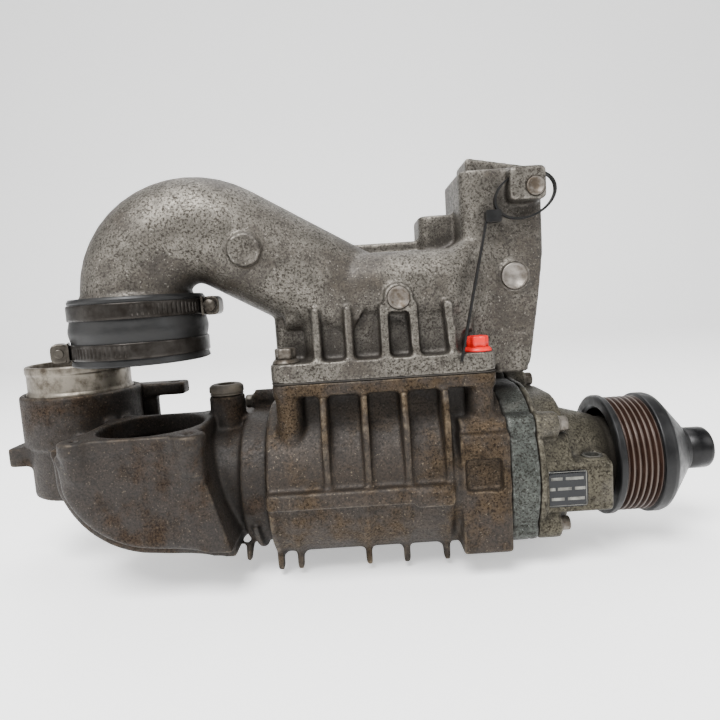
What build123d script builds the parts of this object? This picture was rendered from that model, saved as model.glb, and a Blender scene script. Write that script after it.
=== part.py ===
"""Roots supercharger with its outlet duct, inlet housing, snout and belt pulley.

Frame: the origin is on the drive axis at the middle of the belt track, +X points along the
axis out of the pulley, +Y points from the drive rotor to the driven rotor, +Z points up.
"""
from build123d import *
from math import acos, cos, pi, radians, sin, tan
import os

# ---- rotor pair ------------------------------------------------------------------------
centre_distance = 64.0
lobes = 3
rotor_twist = 60.0
profile_gap = 0.2
tip_clearance = 0.35
end_clearance = 0.4
rolling_radius = centre_distance / (4 * lobes)
tip_radius = centre_distance / 2 + 2 * rolling_radius - profile_gap
bore_radius = tip_radius + tip_clearance

# ---- stations along the drive axis ------------------------------------------------------
housing_rear_x = -228.0
rear_wall = 13.0
plate_rear_x = -85.0
plate_thickness = 17.0
cover_flange = 4.0
gear_case_depth = 17.0
gear_case_wall = 5.0
snout_front_x = -18.0
nose_front_x = 11.0
gasket_thickness = 0.5
cavity_rear_x = housing_rear_x + rear_wall
cover_rear_x = plate_rear_x + plate_thickness
gear_case_front_x = cover_rear_x + gear_case_depth
case_front_x = gear_case_front_x + gear_case_wall

# ---- housing shells ---------------------------------------------------------------------
housing_wall = 6.5
housing_radius = bore_radius + housing_wall
joint_radius = 51.5
gear_case_radius = 44.0
cover_bolt_boss = 8.0
front_band = 12.0
rib_thickness = 4.0
rib_reach = 2.6
rib_pitch = 23.6
rib_first_x = -191.5
rib_count = 4

# ---- outlet flange, duct and box ---------------------------------------------------------
flange_left_x = -222.0
flange_right_x = -88.0
flange_front_y = -42.0
flange_rear_y = 78.0
port_flange_base_z = 57.5
port_face_z = 65.5
duct_flange = 11.5
duct_wall = 4.0
duct_floor_z = port_face_z + gasket_thickness + duct_flange
box_left_x = -102.0
box_right_x = -51.5
box_front_y = -20.0
box_rear_y = 46.0
box_base_z = 61.0
box_top_z = 185.0
box_step = 13.0
pipe_radius = 31.3
pipe_collar_radius = 33.5
pipe_wall = 3.5
pipe_end_x = -299.5
pipe_end_y = -25.0
pipe_end_z = 98.0
pipe_bend_z = 122.0
pipe_bend_radius = 37.5
pipe_slope = 30.0
pipe_yaw = 8.5
pipe_run = 90.0
outlet_bore_radius = 19.5

# ---- inlet housing -----------------------------------------------------------------------
inlet_wall = 5.5
neck_radius = 41.5
neck_left_x = -274.0
inlet_flange_x = -245.0
scoop_front_y = -60.0
scoop_rear_y = 13.0
scoop_step_y = -42.0
bypass_face_z = 44.0
bypass_flange = 8.0
bypass_bore_radius = 31.5
bypass_bolt_spacing = 64.0
bypass_lobe_radius = 9.5
bypass_plate_margin = 4.0
tower_x = -366.0
tower_y = 30.0
tower_collar_z = 27.0
tower_top_z = 62.0
tower_radius = 39.0
spigot_radius = 34.0
spigot_wall = 2.6
spigot_shoulder = 0.6
spigot_top_z = 81.0
spigot_seat_z = 41.0
boss_x = -257.0
boss_top_z = 63.0
boss_radius = 11.5

# ---- bearings, gears and coupling ----------------------------------------------------------
bearing_bore_radius = 8.5
bearing_outer_radius = 20.0
bearing_width = 12.0
ball_radius = 3.375
ball_circle = 14.25
ball_count = 8
race_clearance = 0.06
inner_ring_radius = 12.0
outer_ring_radius = 16.6
roller_radius = 2.5
roller_count = 11
roller_shaft_radius = 8.0
roller_clearance = 0.03
roller_cup_radius = 16.0
shaft_radius = 9.0
gear_module = 2.0
gear_teeth = 32
gear_width = 11.0
gear_backlash = 0.12
gear_rear_x = cover_rear_x + 2.0
gear_front_x = gear_rear_x + gear_width
pin_radius = 3.0
pin_circle = 15.0
pin_clearance = 0.05
isolator_radius = 20.5
isolator_thickness = 8.0
hub_gap = 0.5
isolator_rear_x = gear_front_x + hub_gap
isolator_front_x = isolator_rear_x + isolator_thickness
hub_thickness = 4.0
hub_rear_x = isolator_front_x + hub_gap
hub_front_x = hub_rear_x + hub_thickness
coupling_cavity_radius = 23.5
coupling_cavity_front_x = hub_front_x + 1.5
rear_snout_bearing_x = -36.0
front_snout_bearing_x = -8.0
seal_width = 6.0
nose_radius = 25.0

# ---- pulley ----------------------------------------------------------------------------
pulley_radius = 39.0
rib_pitch_v = 3.56
rib_count_v = 6
groove_depth = 2.8
groove_top_radius = 37.3
flange_lip = 3.4
cup_radius = 30.5
pulley_hub_radius = 14.0
pulley_face_x = 41.0
nose_cap_radius = 13.6
nose_cap_length = 16.5
nose_bolt_radius = 5.0

# ---- hose coupling and clamps -------------------------------------------------------------
hose_wall = 5.4
hose_low_z = 84.0
hose_high_z = 122.5
band_thickness = 0.9
band_width = 9.0
upper_band_z = 110.0
lower_band_z = 88.0
clamp_screw_radius = 2.6
clamp_box = 9.0

# ---- fasteners ---------------------------------------------------------------------------
bolt_shank_radius = 4.0
bolt_hole_radius = 4.25
bolt_flange_radius = 8.2
bolt_flange_thickness = 2.4
bolt_hex = 12.0
bolt_hex_height = 6.5
cover_shank_radius = 3.0
cover_hole_radius = 3.2
thread_hole_radius = 3.05
duct_thread_radius = 4.05
lug_bore_radius = 4.25
lug_bush_wall = 1.75

axis_offsets = (0.0, centre_distance)

os.makedirs("parts", exist_ok=True)


def finish(part, label):
    """Label a finished piece and write its STEP file."""
    part.label = label
    export_step(part, f"parts/{label}.step")


def racetrack(x, radius):
    """Sketch across the axes: a slot shape of the given radius around both rotor axes."""
    with BuildSketch(Plane.YZ.offset(x)) as sketch:
        with Locations((centre_distance / 2, 0)):
            SlotCenterToCenter(centre_distance, 2 * radius)
    return sketch.sketch


def rounds_x(x, radius, points):
    """Sketch across the axes: one circle at each (y, z) point."""
    with BuildSketch(Plane.YZ.offset(x)) as sketch:
        with Locations(*points):
            Circle(radius)
    return sketch.sketch


def rounds_z(z, radius, points):
    """Level sketch at height z: one circle at each (x, y) point."""
    with BuildSketch(Plane.XY.offset(z)) as sketch:
        with Locations(*points):
            Circle(radius)
    return sketch.sketch


def plate_z(z, x0, x1, y0, y1, corner):
    """Level sketch at height z: a rectangle between two corners, its corners rounded."""
    with BuildSketch(Plane.XY.offset(z)) as sketch:
        with Locations(((x0 + x1) / 2, (y0 + y1) / 2)):
            RectangleRounded(x1 - x0, y1 - y0, corner)
    return sketch.sketch


def panel_x(x, y0, y1, z0, z1, corner):
    """Sketch across the axes: a rectangle in Y and Z, its corners rounded."""
    with BuildSketch(Plane.YZ.offset(x)) as sketch:
        with Locations(((y0 + y1) / 2, (z0 + z1) / 2)):
            RectangleRounded(y1 - y0, z1 - z0, corner)
    return sketch.sketch


def outline_y(y, points):
    """Upright sketch facing the front at depth y: a polygon through (x, z) points."""
    with BuildSketch(Plane.XZ.offset(-y)) as sketch:
        with BuildLine():
            Polyline(*points, close=True)
        make_face()
    return sketch.sketch


def turned(points, offset=0.0):
    """Solid of revolution about a rotor axis, from (x, radius) points."""
    with BuildPart() as solid:
        with BuildSketch(Plane.XZ.offset(-offset)):
            with BuildLine():
                Polyline(*points, close=True)
            make_face()
        revolve(axis=Axis((0, offset, 0), (1, 0, 0)))
    return solid.part


def ring(x0, x1, inner, outer, offset=0.0):
    """Plain ring about a rotor axis."""
    return turned([(x0, inner), (x1, inner), (x1, outer), (x0, outer)], offset)


def rod(x0, x1, radius, offset=0.0):
    """Plain round bar on a rotor axis."""
    with BuildPart() as solid:
        extrude(rounds_x(x0, radius, [(offset, 0)]), amount=x1 - x0)
    return solid.part


def flange_bolt(seat, shank_radius, grip, scale=1.0):
    """Hexagon bolt with a washer face: the head stands on the seat plane, the shank behind."""
    with BuildPart() as bolt:
        with BuildSketch(seat):
            Circle(bolt_flange_radius * scale)
        extrude(amount=bolt_flange_thickness * scale)
        with BuildSketch(seat.offset(bolt_flange_thickness * scale)):
            RegularPolygon(bolt_hex / 2 * scale, 6, major_radius=False)
        extrude(amount=bolt_hex_height * scale)
        with BuildSketch(seat):
            Circle(shank_radius)
        extrude(amount=-grip)
    return bolt.part


def bearing_outer_ring(x0, offset):
    """Outer ring of a ball bearing with its raceway groove."""
    with BuildPart() as outer_ring:
        add(ring(x0, x0 + bearing_width, outer_ring_radius, bearing_outer_radius, offset))
        add(raceway(x0, offset), mode=Mode.SUBTRACT)
    return outer_ring.part


def bearing_inner_ring(x0, offset):
    """Inner ring of a ball bearing with its raceway groove."""
    with BuildPart() as inner_ring:
        add(ring(x0, x0 + bearing_width, bearing_bore_radius, inner_ring_radius, offset))
        add(raceway(x0, offset), mode=Mode.SUBTRACT)
    return inner_ring.part


def raceway(x0, offset):
    """The torus that the balls sweep, grown by the raceway clearance."""
    with BuildPart() as swept:
        with BuildSketch(Plane.XZ.offset(-offset)):
            with Locations((x0 + bearing_width / 2, ball_circle)):
                Circle(ball_radius + race_clearance)
        revolve(axis=Axis((0, offset, 0), (1, 0, 0)))
    return swept.part


def ball_points(offset):
    """The (y, z) centres of one bearing's balls."""
    angles = [2 * pi * i / ball_count for i in range(ball_count)]
    return [(offset + ball_circle * cos(a), ball_circle * sin(a)) for a in angles]


def ball_set(x0, offset, radius):
    """One bearing's balls, as separate spheres of the given radius."""
    with BuildPart() as balls:
        for y, z in ball_points(offset):
            with Locations((x0 + bearing_width / 2, y, z)):
                Sphere(radius)
    return balls.part


def ball_cage(x0, offset):
    """Ring that spaces the balls, with a round pocket for each."""
    cage_half = 4.3
    middle = x0 + bearing_width / 2
    with BuildPart() as cage:
        add(ring(middle - cage_half, middle + cage_half, 13.1, 15.4, offset))
        add(ball_set(x0, offset, ball_radius + race_clearance), mode=Mode.SUBTRACT)
    return cage.part


def rotor_profile():
    """Points of one rotor's outline: an epicycloid round each lobe, a hypocycloid in each
    flute, all on a pitch circle of half the centre distance. Each point is pulled in by the
    gap along the curve's normal, which passes through the rolling circle's contact point."""
    pitch_radius = centre_distance / 2
    steps = 10
    points = []
    for arc in range(2 * lobes):
        start = pi / (2 * lobes) * (2 * arc - 1)
        outward = 1 if arc % 2 == 0 else -1
        for step in range(steps):
            turn = pi / lobes * (step + 0.5) / steps
            arm = pitch_radius + outward * rolling_radius
            roll = arm / rolling_radius * turn
            along = arm * cos(turn) - outward * rolling_radius * cos(roll)
            across = arm * sin(turn) - rolling_radius * sin(roll)
            contact = Vector(pitch_radius * cos(turn), pitch_radius * sin(turn))
            point = Vector(along, across)
            normal = (point - contact).normalized() * outward
            points.append((point - normal * profile_gap).rotate(Axis.Z, start * 180 / pi))
    return points


def rotor(offset, hand):
    """Twisted rotor: its outline carried along the axis while it turns evenly."""
    rear_x = cavity_rear_x + end_clearance
    length = plate_rear_x - cavity_rear_x - 2 * end_clearance
    with BuildSketch(Plane((rear_x, offset, 0), (0, 1, 0), (1, 0, 0))) as outline:
        with BuildLine():
            Spline(*rotor_profile(), periodic=True)
        make_face()
    twisted = Solid.extrude_linear_with_rotation(
        outline.sketch.face(), Vector(rear_x, offset, 0), Vector(length, 0, 0), hand * rotor_twist
    )
    with BuildPart() as body:
        add(twisted)
        add(rod(cavity_rear_x, plate_rear_x, shaft_radius, offset), mode=Mode.SUBTRACT)
    return body.part


def gear_profile(phase):
    """Points of a spur gear: involute flanks from the base circle out, radial below it."""
    pitch_radius = gear_module * gear_teeth / 2
    pressure = radians(20)
    base = pitch_radius * cos(pressure)
    root = pitch_radius - 1.25 * gear_module
    tip = pitch_radius + gear_module
    radii = [root] + [base + (tip - base) * i / 3 for i in range(4)]
    half_tooth = pi / (2 * gear_teeth) - gear_backlash / pitch_radius + tan(pressure) - pressure
    points = []
    for tooth in range(gear_teeth):
        centre = phase + 2 * pi * tooth / gear_teeth
        rising = []
        falling = []
        for radius in radii:
            roll = acos(min(1.0, base / radius))
            spread = half_tooth - (tan(roll) - roll)
            rising.append((radius * cos(centre - spread), radius * sin(centre - spread)))
            falling.append((radius * cos(centre + spread), radius * sin(centre + spread)))
        points += rising + falling[::-1]
    return points


def spur_gear(offset, phase):
    """Timing gear on its shaft."""
    with BuildPart() as gear:
        with BuildSketch(Plane((gear_rear_x, offset, 0), (0, 1, 0), (1, 0, 0))):
            with BuildLine():
                Polyline(*gear_profile(phase), close=True)
            make_face()
        extrude(amount=gear_width)
        add(rod(gear_rear_x, gear_front_x, bearing_bore_radius, offset), mode=Mode.SUBTRACT)
    return gear.part


# ---- bolt seats --------------------------------------------------------------------------
cover_bolt_circle = 48.0
cover_bolt_points = [
    (cover_bolt_circle * cos(radians(angle)), cover_bolt_circle * sin(radians(angle)))
    for angle in (140, 220)
]
cover_bolt_points += [(centre_distance - y, z) for y, z in cover_bolt_points]
cover_bolt_points += [(centre_distance / 2, side * cover_bolt_circle) for side in (1, -1)]
cover_bolt_seat_x = cover_rear_x + 14.0
cover_bolt_grip = cover_bolt_seat_x - plate_rear_x + 14.0
inlet_bolt_points = [(centre_distance / 2, side * 45.0) for side in (1, -1)]
inlet_bolt_points += [(centre_distance + 38.0, side * 26.0) for side in (1, -1)]
inlet_bolt_grip = 26.0
dowel_points = [(12.0, 46.5), (centre_distance - 12.0, -46.5)]
dowel_radius = 2.5
duct_bolt_inset = 9.5
marked_bolt_point = (-98.0, flange_front_y + duct_bolt_inset)
duct_bolt_points = [(flange_left_x + duct_bolt_inset, flange_front_y + duct_bolt_inset)]
duct_bolt_points += [
    (x, flange_rear_y - duct_bolt_inset + 1.0) for x in (flange_left_x + duct_bolt_inset, -166.0, -118.0)
]
duct_bolt_grip = 19.0

# ---- rotor housing -------------------------------------------------------------------------
housing_length = plate_rear_x - housing_rear_x
port_points = [(-196.0, 14.0), (-112.0, 8.0), (-112.0, 56.0), (-196.0, 50.0)]
ledge_top_z = 4.0
ledge_height = 10.0
ledge_reach = 7.0
foot_x = -85.0
belly_spikes = (-230.0 + rib_thickness, -213.5, -170.5, -146.5, -121.5)
rib_positions = [rib_first_x + i * rib_pitch for i in range(rib_count)]

with BuildPart() as rotor_housing:
    extrude(racetrack(housing_rear_x, housing_radius), amount=housing_length)
    extrude(racetrack(plate_rear_x - front_band, joint_radius), amount=front_band)
    extrude(rounds_x(plate_rear_x - 28, cover_bolt_boss, cover_bolt_points), amount=28)
    extrude(rounds_x(housing_rear_x, cover_bolt_boss, inlet_bolt_points), amount=28)
    # outlet tower and its flange
    extrude(
        plate_z(0, flange_left_x + 12, flange_right_x - 14, -30, flange_rear_y - 10, 8),
        amount=port_flange_base_z + 1,
    )
    extrude(
        plate_z(port_flange_base_z, flange_left_x, flange_right_x, flange_front_y, flange_rear_y, 9),
        amount=port_face_z - port_flange_base_z,
    )
    extrude(rounds_z(30, bolt_flange_radius, duct_bolt_points + [marked_bolt_point]), amount=port_face_z - 30)
    # upright ribs on the front, from the flange down to the ledge
    for rib_x in rib_positions:
        with BuildSketch(Plane.YZ.offset(rib_x - rib_thickness / 2)):
            with BuildLine():
                Polyline(
                    (0, port_flange_base_z),
                    (flange_front_y - 4, port_flange_base_z),
                    (-housing_radius - rib_reach, 38),
                    (-housing_radius - rib_reach, 0),
                    (0, 0),
                    close=True,
                )
            make_face()
        extrude(amount=rib_thickness)
    # ledge along the front and the gussets below it
    with BuildSketch(Plane.XY.offset(ledge_top_z - ledge_height)):
        with Locations(((housing_rear_x - 118) / 2, -housing_radius - ledge_reach + 15)):
            RectangleRounded(-118 - housing_rear_x, 30, 3)
    extrude(amount=ledge_height)
    for spike_x in belly_spikes:
        with BuildSketch(Plane.YZ.offset(spike_x - rib_thickness / 2)):
            with Locations((centre_distance / 2, 0)):
                SlotCenterToCenter(centre_distance, 2 * (housing_radius + 2.2))
            with Locations((centre_distance / 2, housing_radius)):
                Rectangle(3 * centre_distance, 2 * housing_radius - 8, mode=Mode.SUBTRACT)
            with Locations((-26, -housing_radius + 4)):
                Rectangle(8, 15)
        extrude(amount=rib_thickness)
    # machined block at the front end, its pocket, and the foot under it
    extrude(panel_x(-114, -housing_radius - 1, 0, -42, 31, 3), amount=29)
    extrude(panel_x(-111, -housing_radius - 6, -housing_radius + 4, -3, 16, 2), amount=21, mode=Mode.SUBTRACT)
    extrude(panel_x(foot_x - 8, -18, 4, -57, -30, 3), amount=8)
    # inside: the two bores, the rear bearing bores, the inlet and outlet ports
    with BuildSketch(Plane.YZ.offset(cavity_rear_x)):
        with Locations((0, 0), (centre_distance, 0)):
            Circle(bore_radius)
    extrude(amount=housing_length, mode=Mode.SUBTRACT)
    for axis_y in axis_offsets:
        extrude(rounds_x(housing_rear_x + 1, roller_cup_radius, [(axis_y, 0)]), amount=rear_wall + 1, mode=Mode.SUBTRACT)
    extrude(panel_x(housing_rear_x - 1, -18, centre_distance + 18, -38, -18, 9), amount=rear_wall + 2, mode=Mode.SUBTRACT)
    with BuildSketch(Plane.XY):
        with BuildLine():
            Polyline(*port_points, close=True)
        make_face()
        fillet(vertices(), 9)
    extrude(amount=port_face_z + 1, mode=Mode.SUBTRACT)
    # threaded holes and dowel holes
    extrude(rounds_x(plate_rear_x - 15, thread_hole_radius, cover_bolt_points), amount=16, mode=Mode.SUBTRACT)
    extrude(rounds_x(housing_rear_x - 1, thread_hole_radius, inlet_bolt_points), amount=20, mode=Mode.SUBTRACT)
    extrude(rounds_x(plate_rear_x - 6, dowel_radius, dowel_points), amount=7, mode=Mode.SUBTRACT)
    extrude(
        rounds_z(port_face_z - 14, duct_thread_radius, duct_bolt_points + [marked_bolt_point]),
        amount=21,
        mode=Mode.SUBTRACT,
    )
finish(rotor_housing.part, "rotor_housing")

# ---- bearing plate --------------------------------------------------------------------------
plate_bearing_x = cover_rear_x - bearing_width
with BuildPart() as bearing_plate:
    extrude(racetrack(plate_rear_x, joint_radius), amount=plate_thickness)
    extrude(rounds_x(plate_rear_x, cover_bolt_boss, cover_bolt_points), amount=plate_thickness)
    for axis_y in axis_offsets:
        extrude(rounds_x(plate_rear_x, shaft_radius + 2, [(axis_y, 0)]), amount=plate_thickness, mode=Mode.SUBTRACT)
        extrude(
            rounds_x(plate_bearing_x, bearing_outer_radius, [(axis_y, 0)]),
            amount=bearing_width,
            mode=Mode.SUBTRACT,
        )
    extrude(rounds_x(plate_rear_x, cover_hole_radius, cover_bolt_points), amount=plate_thickness, mode=Mode.SUBTRACT)
    extrude(rounds_x(plate_rear_x, dowel_radius, dowel_points), amount=plate_thickness, mode=Mode.SUBTRACT)
finish(bearing_plate.part, "bearing_plate")

# ---- front cover with the snout ----------------------------------------------------------------
gear_case_bore = gear_module * gear_teeth / 2 + gear_module + 3.0
snout_base_radius = 33.0
snout_tip_radius = 28.5
pad_front_y = -45.0
pad_top_z = 8.5
pad_bottom_z = -22.0
lug_x = -31.8
lug_y = -34.0
fill_plug_y = centre_distance + 4
plug_thread_radius = 7.0
plug_boss_radius = plug_thread_radius + 4
fill_plug_x = cover_rear_x + plug_boss_radius + 0.5
plug_seat_z = joint_radius + 1.0
with BuildPart() as front_cover:
    extrude(racetrack(cover_rear_x, joint_radius), amount=cover_flange)
    extrude(racetrack(cover_rear_x, gear_case_radius), amount=case_front_x - cover_rear_x)
    extrude(rounds_x(cover_rear_x, cover_bolt_boss, cover_bolt_points), amount=cover_bolt_seat_x - cover_rear_x)
    add(
        turned(
            [
                (gear_case_front_x - 3, 0),
                (gear_case_front_x - 3, snout_base_radius),
                (case_front_x + 6, snout_base_radius),
                (snout_front_x - 6, snout_tip_radius),
                (snout_front_x, snout_tip_radius - 2),
                (snout_front_x, nose_radius),
                (nose_front_x, nose_radius),
                (nose_front_x, 0),
            ]
        )
    )
    extrude(panel_x(cover_rear_x + 4, pad_front_y, 0, pad_bottom_z, pad_top_z, 3), amount=snout_front_x - 5 - cover_rear_x - 4)
    extrude(rounds_z(pad_bottom_z, lug_bore_radius + lug_bush_wall + 3, [(lug_x, lug_y)]), amount=pad_top_z + 1.5 - pad_bottom_z)
    extrude(rounds_z(30, plug_boss_radius, [(fill_plug_x, fill_plug_y)]), amount=plug_seat_z - 30)
    # inside: gear case, coupling cavity, bearing bore
    extrude(racetrack(cover_rear_x, gear_case_bore), amount=gear_case_depth, mode=Mode.SUBTRACT)
    extrude(
        rounds_x(cover_rear_x, coupling_cavity_radius, [(0, 0)]),
        amount=coupling_cavity_front_x - cover_rear_x,
        mode=Mode.SUBTRACT,
    )
    extrude(rounds_x(cover_rear_x, bearing_outer_radius, [(0, 0)]), amount=nose_front_x - cover_rear_x, mode=Mode.SUBTRACT)
    # room above the cover bolts' seats, then holes: cover bolts, lug bush, fill plug
    extrude(rounds_x(cover_bolt_seat_x, bolt_flange_radius * 0.7 + 0.4, cover_bolt_points), amount=12, mode=Mode.SUBTRACT)
    extrude(rounds_x(cover_rear_x, cover_hole_radius, cover_bolt_points), amount=30, mode=Mode.SUBTRACT)
    extrude(rounds_z(pad_bottom_z - 1, lug_bore_radius + lug_bush_wall, [(lug_x, lug_y)]), amount=40, mode=Mode.SUBTRACT)
    extrude(rounds_z(30, plug_thread_radius, [(fill_plug_x, fill_plug_y)]), amount=30, mode=Mode.SUBTRACT)
finish(front_cover.part, "front_cover")

with BuildPart() as lug_bush:
    with BuildSketch(Plane.XY.offset(pad_bottom_z)):
        with Locations((lug_x, lug_y)):
            Circle(lug_bore_radius + lug_bush_wall)
            Circle(lug_bore_radius, mode=Mode.SUBTRACT)
    extrude(amount=pad_top_z + 1.5 - pad_bottom_z)
finish(lug_bush.part, "lug_bush")

name_plate_thickness = 0.4
with BuildPart() as name_plate:
    with BuildSketch(Plane.XZ.offset(-pad_front_y)):
        with Locations((-51.0, -6.5)):
            RectangleRounded(24, 22, 1)
    extrude(amount=name_plate_thickness)
finish(name_plate.part, "name_plate")

with BuildPart() as oil_fill_plug:
    with BuildSketch(Plane.XY.offset(plug_seat_z)):
        with Locations((fill_plug_x, fill_plug_y)):
            Circle(plug_thread_radius + 2.5)
    extrude(amount=4)
    extrude(rounds_z(plug_seat_z - 9, plug_thread_radius - 0.05, [(fill_plug_x, fill_plug_y)]), amount=9)
    with BuildSketch(Plane.XY.offset(plug_seat_z + 4)):
        with Locations((fill_plug_x, fill_plug_y)):
            RegularPolygon(3.5, 6, major_radius=False)
    extrude(amount=-3.5, mode=Mode.SUBTRACT)
finish(oil_fill_plug.part, "oil_fill_plug")

# ---- outlet duct ------------------------------------------------------------------------------
tie_thickness = 1.2
tie_width = 3.6
tie_half_width = 19.0
tie_half_height = 13.5
tie_tilt = 18.0
tie_rear_y = -24.0
tie_centre = (-64.9, 167.5)
tie_head = (-88.0, 156.0)
tie_tail_length = 88.0
base_left_x = -201.0
base_front_y = -30.0
plenum_right_x = -112.0
base_rear_y = 40.0
port_cover = (-204.0, -104.0, 30.0, 60.0)
port_cover_top_z = 92.0
bulge_front_y = -38.0
left_wall = (-220.0, -194.0, -21.0, 36.0)
left_wall_top_z = 106.0
rib_top_z = 109.0
rib_front_y = -40.5
duct_rib_width = 5.0
duct_ribs = [(-193.0, -193.0), (-174.0, -174.0), (-153.0, -153.0), (-136.0, -135.0), (-116.0, -113.0)]
bulge_sections = [
    (-212.0, -30.0, 20.0, 94.0, 128.0, 16.0),
    (-168.0, bulge_front_y, 42.0, 99.0, 140.0, 20.0),
    (-110.0, bulge_front_y + 3, 42.0, 93.0, 140.0, 20.0),
    (-88.0, box_front_y + 1, 42.0, 90.0, 152.0, 12.0),
]
back_wall = (-176.0, -100.0, 10.0, 42.0)
back_wall_z = (120.0, 148.0)
shoulder = (-125.0, -98.0, 4.0, 44.0)
shoulder_z = (118.0, 163.0)
heel = (-63.5, 132.0)
step_low_z = box_top_z + 5.5
corner_block = (-75.0, -53.5, 164.0, 183.5)
corner_block_front_y = -32.0
corner_plug = (-60.0, 171.5)
corner_plug_radius = 5.5
side_plug = (-71.5, 120.5)
side_plug_radius = 8.0
side_plug_rim = 1.6
side_recess = (-77.0, -64.0, 84.0, 110.0)
side_recess_depth = 1.6
middle_plug = (-144.0, 112.0)
pipe_boss = (-229.0, 144.0)
plug_radius = 6.5
plug_depth = 3.0
outlet_x = -78.5
outlet_z = 118.0
outlet_face_y = 56.0
core_plugs = [
    (*side_plug, side_plug_radius, box_front_y - 2.5),
    (*middle_plug, plug_radius, bulge_front_y - 3.5),
    (*corner_plug, corner_plug_radius, corner_block_front_y),
]
outlet_flange_radius = 30.0

yaw = radians(pipe_yaw)
pipe_plane = Plane((pipe_end_x, pipe_end_y, 0), (cos(yaw), sin(yaw), 0), (sin(yaw), -cos(yaw), 0))
with BuildLine(pipe_plane) as pipe_path:
    rise = Line((0, pipe_end_z), (0, pipe_bend_z))
    bend = CenterArc((pipe_bend_radius, pipe_bend_z), pipe_bend_radius, 180, -90 - pipe_slope)
    PolarLine(bend @ 1, pipe_run, -pipe_slope)


def pipe_solid(radius):
    """The curved pipe as a solid bar of the given radius along the pipe's path."""
    with BuildPart() as solid:
        with BuildSketch(Plane.XY.offset(pipe_end_z)):
            with Locations((pipe_end_x, pipe_end_y)):
                Circle(radius)
        sweep(path=pipe_path.line)
    return solid.part


def bulge_solid(wall):
    """The rounded upper plenum, lofted along X, with every section shrunk by the wall."""
    with BuildPart() as solid:
        for index, (x, y0, y1, z0, z1, corner) in enumerate(bulge_sections):
            with BuildSketch(Plane.YZ.offset(x + (2 * wall if index == 0 else 0))):
                with Locations(((y0 + y1) / 2, (z0 + z1) / 2)):
                    RectangleRounded(y1 - y0 - 2 * wall, z1 - z0 - 2 * wall, corner - wall)
        loft(ruled=True)
    return solid.part


def box_solid(z, top_z, wall):
    """The tall outlet box between two heights, its right side sloping in below the heel, less the wall."""
    with BuildPart() as solid:
        edges = (box_left_x + wall, box_right_x - wall, box_front_y + wall, box_rear_y - wall)
        extrude(plate_z(z, *edges, 8 - wall / 2), amount=top_z - z)
        slope = [
            (heel[0] - wall, box_base_z - 1),
            (box_right_x + 1, box_base_z - 1),
            (box_right_x + 1, heel[1]),
            (box_right_x - 1 - wall, heel[1]),
        ]
        extrude(outline_y(box_rear_y + 1, slope), amount=box_rear_y - box_front_y + 2, mode=Mode.SUBTRACT)
    return solid.part


def front_disc(x, z, radius, y_front, y_back):
    """Round boss whose axis runs along Y."""
    with BuildPart() as solid:
        with BuildSketch(Plane.XZ.offset(-y_back)):
            with Locations((x, z)):
                Circle(radius)
        extrude(amount=y_back - y_front)
    return solid.part


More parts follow.
